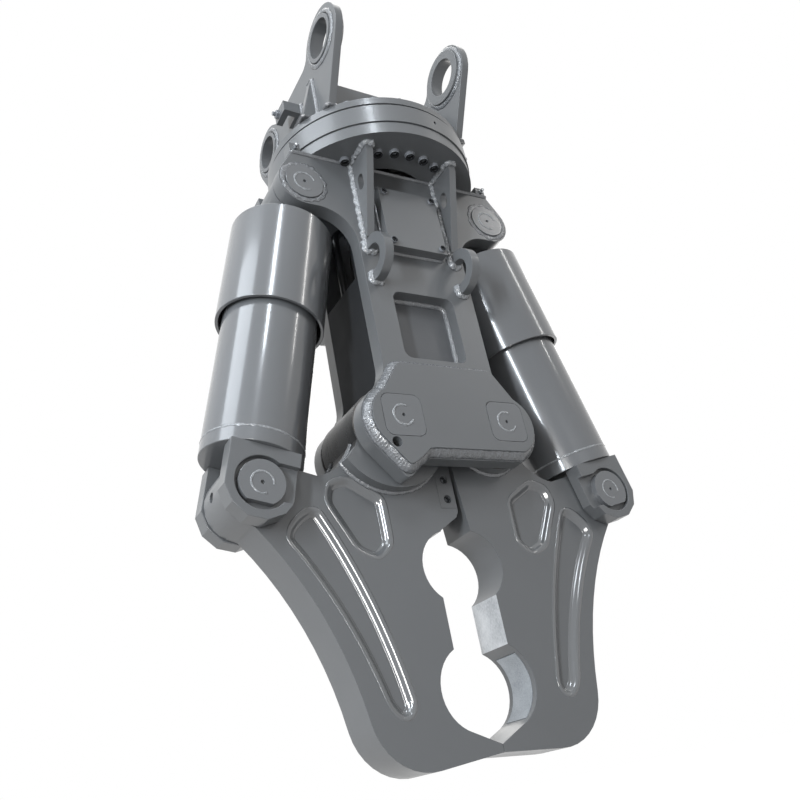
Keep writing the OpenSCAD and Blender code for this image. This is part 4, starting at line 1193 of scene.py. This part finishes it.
    def window_outline(self) -> list[tuple[float, float]]:
        """Works out the window's outline, a rectangle with round corners.

        Returns:
            Pairs of X and Z in millimetres.
        """
        half, low, high = self.window
        reach = half - self.window_r
        centres = ((-reach, low + self.window_r), (reach, low + self.window_r),
                   (reach, high - self.window_r), (-reach, high - self.window_r))
        result = []
        for i, (x, z) in enumerate(centres):
            for k in range(5):
                angle = math.radians(180 + 90 * i + 22.5 * k)
                result.append((x + self.window_r * math.cos(angle),
                               z + self.window_r * math.sin(angle)))
        return result

    def pin_welds(self) -> None:
        """Lays flat rings round the pin caps and the plug welds in their middles."""
        rims, plugs = [], []
        for face in Face:
            out = Y_AXIS * face.value
            seat, cap, pad = (face.value * y for y in (
                self.plate_out, self.plate_out + self.cap_rise, self.pad_out))
            for side in Side:
                x, z = side.value * self.cyl_pin[0], self.cyl_pin[1]
                rims.append(Line.around(row(x, seat, z), out, self.cap_r + self.rim_gap))
                plugs.append(Line.around(row(x, cap, z), out, *self.cyl_plug))
                pivot = row(side.value * self.pivot_x, pad, 0)
                plugs.append(Line.around(pivot, out, *self.pivot_plug))
        settle(self.cap_bead.lay(rims, "pin_cap_welds"), "frame", WELD_GREY)
        settle(self.plug_bead.lay(plugs, "pin_plug_welds"), "frame", SPATTER_AND_HIGHLIGHT_GREY)

    def flange_bolts(self) -> None:
        """Sets the cap screws under the lower flange, alike on both sides."""
        places = []
        for angle in self.bolt_angles:
            for turn in {angle, -angle % 360}:
                a = math.radians(turn - 90)
                x, y = self.bolt_circle_r * math.cos(a), self.bolt_circle_r * math.sin(a)
                places.append(along(Z_AXIS, row(x, y, self.flange_z)))
        piece = Bench.spread(self.screw.template(), places, "inner_ring_screws")
        settle(piece, "frame", BOLT_GREY, "inner_ring_bolts")

    def cover_bolts(self) -> None:
        """Sets the four small screws of each access cover."""
        places = []
        for face in Face:
            for side in Side:
                for z in self.cover_bolt_z:
                    spot = row(side.value * self.cover_bolt_x, face.value * self.cover_out, z)
                    places.append(along(Y_AXIS * -face.value, spot))
        piece = Bench.spread(self.cover_screw.template(), places, "cover_screws")
        settle(piece, "frame", BOLT_GREY, "cover_bolts")


@dataclass
class Cylinder:
    """One hydraulic cylinder: rod side on the frame's pin, barrel side on the jaw."""

    side: Side
    pin: tuple[float, float] = CYLINDER_PIN
    jaw_pin: tuple[float, float] = (468.0, -145.0)
    barrel_r: float = 112.0
    # Along the axis from the lower pin to the barrel's end, and on to the ring above it.
    fork_root: float = 83.0
    ring_rise: float = 34.0
    fork_out: float = 100.0
    fork_plug: tuple[float, float, float] = (24.0, 120.0, 420.0)
    ring_bead: Weld = Weld(2.8, 1.0, 5, Seam.FLAT, uneven=0.5)
    plug_bead: Weld = Weld(2.6, 1.1, 5, Seam.FLAT, uneven=0.6)

    def build(self) -> None:
        """Makes every piece of the cylinder."""
        word = self.side.word
        rod, barrel = "rod_" + word, "barrel_" + word
        skin("rod_eye_" + word, rod, PLATE_GREY, 2.0)
        skin("guard_sleeve_" + word, rod, TUBE_GREY, 1.6, 3)
        skin("piston_rod_" + word, rod, ROD_CHROME, 1.0)
        skin("barrel_" + word, barrel, TUBE_GREY, 2.0, 3)
        skin("fork_" + word, barrel, PLATE_GREY, 1.4, 2, 12.0)
        skin("fork_pin_" + word, barrel, TUBE_GREY, 1.6)
        self.welds()

    def welds(self) -> None:
        """Lays the ring above the barrel's end and the plug welds of the lower pin."""
        word, sign = self.side.word, self.side.value
        top = row(sign * self.pin[0], 0, self.pin[1])
        end = row(sign * self.jaw_pin[0], 0, self.jaw_pin[1])
        axis = (end - top).normalized()
        ring = Line.tube(end - axis * (self.fork_root + self.ring_rise) * MM, axis, self.barrel_r)
        plugs = [Line.around(end + Y_AXIS * face.value * self.fork_out * MM, Y_AXIS * face.value,
                             *self.fork_plug) for face in Face]
        for bead, lines, name in ((self.ring_bead, [ring], "barrel_ring_weld_"),
                                  (self.plug_bead, plugs, "fork_pin_welds_")):
            settle(bead.lay(lines, name + word), "barrel_" + word, SPATTER_AND_HIGHLIGHT_GREY)


@dataclass
class Jaw:
    """One jaw with its pockets, doublers, liner and ground tooth faces."""

    side: Side
    half: float = 51.0
    floor: float = 39.0
    pivot_x: float = PIVOT_X
    tooth_x: float = 70.0
    tooth_z: tuple[float, float] = (-500.0, -378.0)
    doubler_r: float = 144.0
    doubler_mm: float = 450.0
    pocket_mm: float = 300.0
    # How far past the doublers and how far below the pivot the painted shade on the hubs' sides
    # reaches, in millimetres.
    shade_reach: float = 4.0
    shade_drop: float = 55.0
    hole_at: tuple[float, float] = (541.0, -140.0)
    hole_r: float = 11.0
    hole_deep: float = 16.0
    bead: Weld = Weld(6.5, 6.5, 6, uneven=0.2)
    # The bead ends where the frame's pad, the throat and the slope of the jaw's back begin.
    bead_top: float = -30.0
    bead_inside: float = -125.0
    bead_slope: float = 0.3
    bead_drop: float = 20.0
    blade_screw: CapScrew = CapScrew(6, 36, 9, 12)
    blade_screw_x: float = -3.0
    blade_screw_z: tuple[float, float] = (-110.0, -158.0)
    blade_sink: float = 10.0

    @property
    def body(self) -> str:
        """Name of the jaw's body, which its solid shares."""
        return "jaw_" + self.side.word

    def build(self) -> None:
        """Makes every piece of the jaw."""
        word = self.side.word
        self.plate()
        self.pockets()
        # The hubs' sides in the frame's shadow get painted shade.
        self.grease(skin("jaw_hubs_" + word, self.body, PLATE_GREY, 2.0))
        skin("bite_liner_" + word, self.body, CAST_STEEL, 1.0)
        self.welds()
        if self.side is Side.LEFT:
            skin("throat_blade", self.body, PLATE_GREY, 1.2)
            self.bolts()

    def plate(self) -> None:
        """Gives the jaw rounded edges and bare tooth faces."""
        piece = Bench.take(self.body, "jaw_plate_" + self.side.word)
        self.drill(piece)
        Bench.soften(piece, 2.0)
        piece.data.materials.append(PLATE_GREY.material())
        piece.data.materials.append(GROUND_STEEL.material())
        low, high = (row(0, 0, z).z for z in self.tooth_z)
        for face in piece.data.polygons:
            flat = abs(abs(face.center.x) - self.tooth_x * MM) < MM and abs(face.normal.x) > 0.9
            if flat and low < face.center.z < high:
                face.material_index = 1
        # The plate's round sides in the frame's shadow get painted shade.
        self.grease(piece)
        settle(piece, self.body, PLATE_GREY, self.body)

    def drill(self, piece: bpy.types.Object) -> None:
        """Drills the hole for the pin's grease nipple into the rim of the ear.

        Args:
            piece: the jaw's plate.
        """
        x, z = self.hole_at
        bpy.ops.object.select_all(action="DESELECT")
        bpy.ops.mesh.primitive_cylinder_add(vertices=28, radius=self.hole_r * MM,
                                            depth=2 * self.hole_deep * MM)
        bit = bpy.context.active_object
        bit.data.transform(along(X_AXIS * self.side.value, row(self.side.value * x, 0, z)))
        Bench.cut(piece, bit)

    def grease(self, piece: bpy.types.Object) -> None:
        """Paints the round sides about the pivot, where the frame hides them, nearly black as painted
        shade.

        Args:
            piece: the jaw's plate or its hubs.
        """
        piece.data.materials.append(HUB_GREY.material())
        last = len(piece.data.materials) - 1
        axis = row(self.side.value * self.pivot_x, 0, 0)
        for face in piece.data.polygons:
            off = face.center - axis
            near = math.hypot(off.x, off.z) < (self.doubler_r + self.shade_reach) * MM
            if near and abs(face.normal.y) < 0.6 and off.z > -self.shade_drop * MM:
                face.material_index = last

    def pockets(self) -> None:
        """Lines the walls of the pockets with their soft rolled sides."""
        lines = []
        for face in Face:
            floor = row(0, face.value * self.floor, 0)
            lines += Line.feet(self.body, floor, Y_AXIS * -face.value, self.pocket_mm)
        piece = Lining(self.half - self.floor).lay(lines, "pocket_walls_" + self.side.word)
        settle(piece, self.body, POOL_GREY)

    def welds(self) -> None:
        """Lays the bead round the doublers."""
        word = self.side.word
        lines = []
        for face in Face:
            seat = row(0, face.value * self.half, 0)
            for line in Line.feet("jaw_hubs_" + word, seat, Y_AXIS * face.value, self.doubler_mm):
                lines += line.part(self.on_jaw)
        settle(self.bead.lay(lines, "doubler_welds_" + word), self.body, WELD_GREY)

    def on_jaw(self, p: Vector) -> bool:
        """Tells whether a place on the doubler's outline has jaw plate outside it.

        Args:
            p: the place in metres.

        Returns:
            Whether a bead can lie there.
        """
        x = abs(p.x) / MM - self.pivot_x
        z = p.z / MM + ARM_PIN_HEIGHT
        on_rim = math.hypot(x, z) < self.doubler_r + 1
        below = z < self.bead_top and z < self.bead_slope * x - self.bead_drop
        return on_rim and below and x > self.bead_inside

    def bolts(self) -> None:
        """Sets the two screws of the throat blade in their sinks."""
        level = -self.half + self.blade_sink
        places = [along(Y_AXIS, row(self.blade_screw_x, level, z)) for z in self.blade_screw_z]
        piece = Bench.spread(self.blade_screw.template(), places, "throat_blade_screws")
        settle(piece, self.body, BOLT_GREY, "throat_blade_bolts")


@dataclass
class HiddenWorks:
    """Solids inside the tool that keep their own shape and get a finish."""

    finishes: dict[str, Finish] = field(default_factory=lambda: {
        "slew_inner_ring": TURNED_STEEL, "slew_balls": TURNED_STEEL, "slew_pinion": TURNED_STEEL,
        "thrust_washers": BUSH_BRONZE, "piston_left": TURNED_STEEL, "piston_right": TURNED_STEEL,
        "gland_left": TURNED_STEEL, "gland_right": TURNED_STEEL, "pivot_bush_left": BUSH_BRONZE,
        "pivot_bush_right": BUSH_BRONZE})

    def build(self) -> None:
        """Gives each solid its material."""
        for node, finish in self.finishes.items():
            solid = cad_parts[node]
            solid.data.materials.clear()
            solid.data.materials.append(finish.material())
            LOG.info("%s finished as %s", node, finish.name)


@dataclass(frozen=True)
class Lamp:
    """A rectangular area lamp: places and size in metres, power in watts, linear colour."""

    name: str
    place: tuple[float, float, float]
    size: tuple[float, float]
    power: float
    colour: tuple[float, float, float]
    aim: tuple[float, float, float] = (0.0, 0.2, -0.8)
    lights_matt: bool = True

    def hang(self) -> None:
        """Hangs the lamp, facing its aim."""
        data = bpy.data.lights.new(self.name, "AREA")
        data.shape = "RECTANGLE"
        data.size, data.size_y = self.size
        data.energy = self.power
        data.color = self.colour
        lamp = bpy.data.objects.new(self.name, data)
        bpy.context.scene.collection.objects.link(lamp)
        lamp.visible_diffuse = self.lights_matt
        way = Vector(self.aim) - Vector(self.place)
        lamp.matrix_world = (Matrix.Translation(self.place)
                             @ way.to_track_quat("-Z", "Y").to_matrix().to_4x4())


# Linear colours of the lamps, the points they face, and where the low pair hangs.
COOL_LIGHT = (0.86, 0.93, 1.0)
PLAIN_LIGHT = (1.0, 0.985, 0.96)
AT_TUBES = (-0.33, 0.22, -0.3)
AT_JAWS = (-0.1, 0.1, -1.3)
LOW_PLACE = (-1.9, -2.1, -1.75)


@dataclass
class Studio:
    """Camera, lamps, floor and white surroundings."""

    lens_mm: float = 36.785
    place: tuple[float, float, float] = (-1.0554, -1.2912, -1.8387)
    right: tuple[float, float, float] = (0.86225308, -0.47306456, -0.18091308)
    down: tuple[float, float, float] = (0.06921237, 0.46390476, -0.88317723)
    floor_z: float = -2.3
    sky: float = 0.19
    floor_glow: float = 1.2
    floor_share: float = 0.9
    lamps: tuple[Lamp, ...] = (
        Lamp("left_softbox", (-3.8, -0.6, 1.9), (2.3, 3.0), 135, COOL_LIGHT),
        Lamp("left_strip", (-3.6, -2.1, -0.5), (0.3, 2.3), 128, COOL_LIGHT),
        Lamp("high_strip", (-1.4, -4.3, 3.7), (0.5, 1.5), 84, COOL_LIGHT, AT_TUBES),
        Lamp("right_strip", (3.8, -3.0, 2.4), (0.2, 1.8), 22, PLAIN_LIGHT, AT_TUBES),
        Lamp("low_glint", LOW_PLACE, (0.8, 0.9), 60, PLAIN_LIGHT, AT_JAWS, lights_matt=False),
        Lamp("low_fill", LOW_PLACE, (0.8, 0.9), 7, PLAIN_LIGHT, AT_JAWS),
        Lamp("front_softbox", (0.6, -4.4, -0.9), (2.6, 1.6), 4, PLAIN_LIGHT),
        Lamp("top_softbox", (0.4, 0.6, 3.0), (2.5, 2.5), 40, PLAIN_LIGHT),
        Lamp("back_softbox", (2.8, 3.2, 0.6), (2.5, 2.5), 36, PLAIN_LIGHT))

    def build(self) -> None:
        """Makes the camera, the surroundings, the floor and the lamps."""
        self.camera()
        self.surroundings()
        self.floor()
        for lamp in self.lamps:
            lamp.hang()

    def camera(self) -> None:
        """Sets the camera at the place and angle fitted to the photograph."""
        data = bpy.data.cameras.new("camera")
        data.lens = self.lens_mm
        data.sensor_width = 36.0
        data.clip_end = 100
        eye = bpy.data.objects.new("camera", data)
        bpy.context.scene.collection.objects.link(eye)
        x, down = Vector(self.right), Vector(self.down)
        back = x.cross(-down)
        turn = Matrix((x, -down, back)).transposed()
        eye.matrix_world = Matrix.Translation(self.place) @ turn.to_4x4()
        bpy.context.scene.camera = eye

    def surroundings(self) -> None:
        """Makes the world white to the camera and plain to the object."""
        world = bpy.data.worlds.new("studio")
        bpy.context.scene.world = world
        world.use_nodes = True
        tree = world.node_tree
        strength = add_node(tree, "ShaderNodeMapRange", None, {
            0: self.seen(tree), 3: self.sky, 4: 1.0})
        background = tree.nodes["Background"]
        background.inputs["Color"].default_value = (1, 1, 1, 1)
        tree.links.new(strength.outputs[0], background.inputs["Strength"])

    @staticmethod
    def seen(tree: bpy.types.NodeTree) -> bpy.types.NodeSocket:
        """Adds a test on rays that show the surroundings, also by way of gloss or glass.

        Args:
            tree: the node tree to add it to.

        Returns:
            The socket that holds 1 for such a ray and 0 for any other.
        """
        path = add_node(tree, "ShaderNodeLightPath")
        first = add_node(tree, "ShaderNodeMath", {"operation": "MAXIMUM"}, {
            0: path.outputs["Is Camera Ray"], 1: path.outputs["Is Transmission Ray"]})
        both = add_node(tree, "ShaderNodeMath", {"operation": "MAXIMUM"}, {
            0: first.outputs[0], 1: path.outputs["Is Glossy Ray"]})
        return both.outputs[0]

    def floor(self) -> None:
        """Lays a pale floor well below the hanging tool."""
        bpy.ops.object.select_all(action="DESELECT")
        bpy.ops.mesh.primitive_plane_add(size=60, location=(0, 0, self.floor_z))
        ground = bpy.context.active_object
        ground.name = "floor"
        # A matt pale floor, lit so that it reads as white beyond the tool.
        paint = bpy.data.materials.new("pale_floor")
        paint.use_nodes = True
        tree = paint.node_tree
        shader = tree.nodes["Principled BSDF"]
        shader.inputs["Base Color"].default_value = srgb("#8f8f8f")
        shader.inputs["Roughness"].default_value = 0.9
        glow = add_node(tree, "ShaderNodeEmission", None, {
            "Color": (1, 1, 1, 1), "Strength": self.floor_glow})
        seen = add_node(tree, "ShaderNodeMath", {"operation": "MULTIPLY"}, {
            0: self.seen(tree), 1: self.floor_share})
        mix = add_node(tree, "ShaderNodeMixShader", None, {
            0: seen.outputs[0], 1: shader.outputs[0], 2: glow.outputs[0]})
        tree.links.new(mix.outputs[0], tree.nodes["Material Output"].inputs["Surface"])
        ground.data.materials.append(paint)


def main() -> None:
    """Builds the studio and every sub-assembly in order."""
    logging.basicConfig(level=logging.INFO, format="%(name)s: %(message)s")
    bpy.context.scene.view_settings.view_transform = "Standard"
    parts = [Studio(), Carrier(), MainFrame()]
    parts += [kind(side) for side in Side for kind in (Cylinder, Jaw)]
    parts.append(HiddenWorks())
    for part in parts:
        part.build()
        LOG.info("%s done", type(part).__name__)


if __name__ == "__main__":
    main()
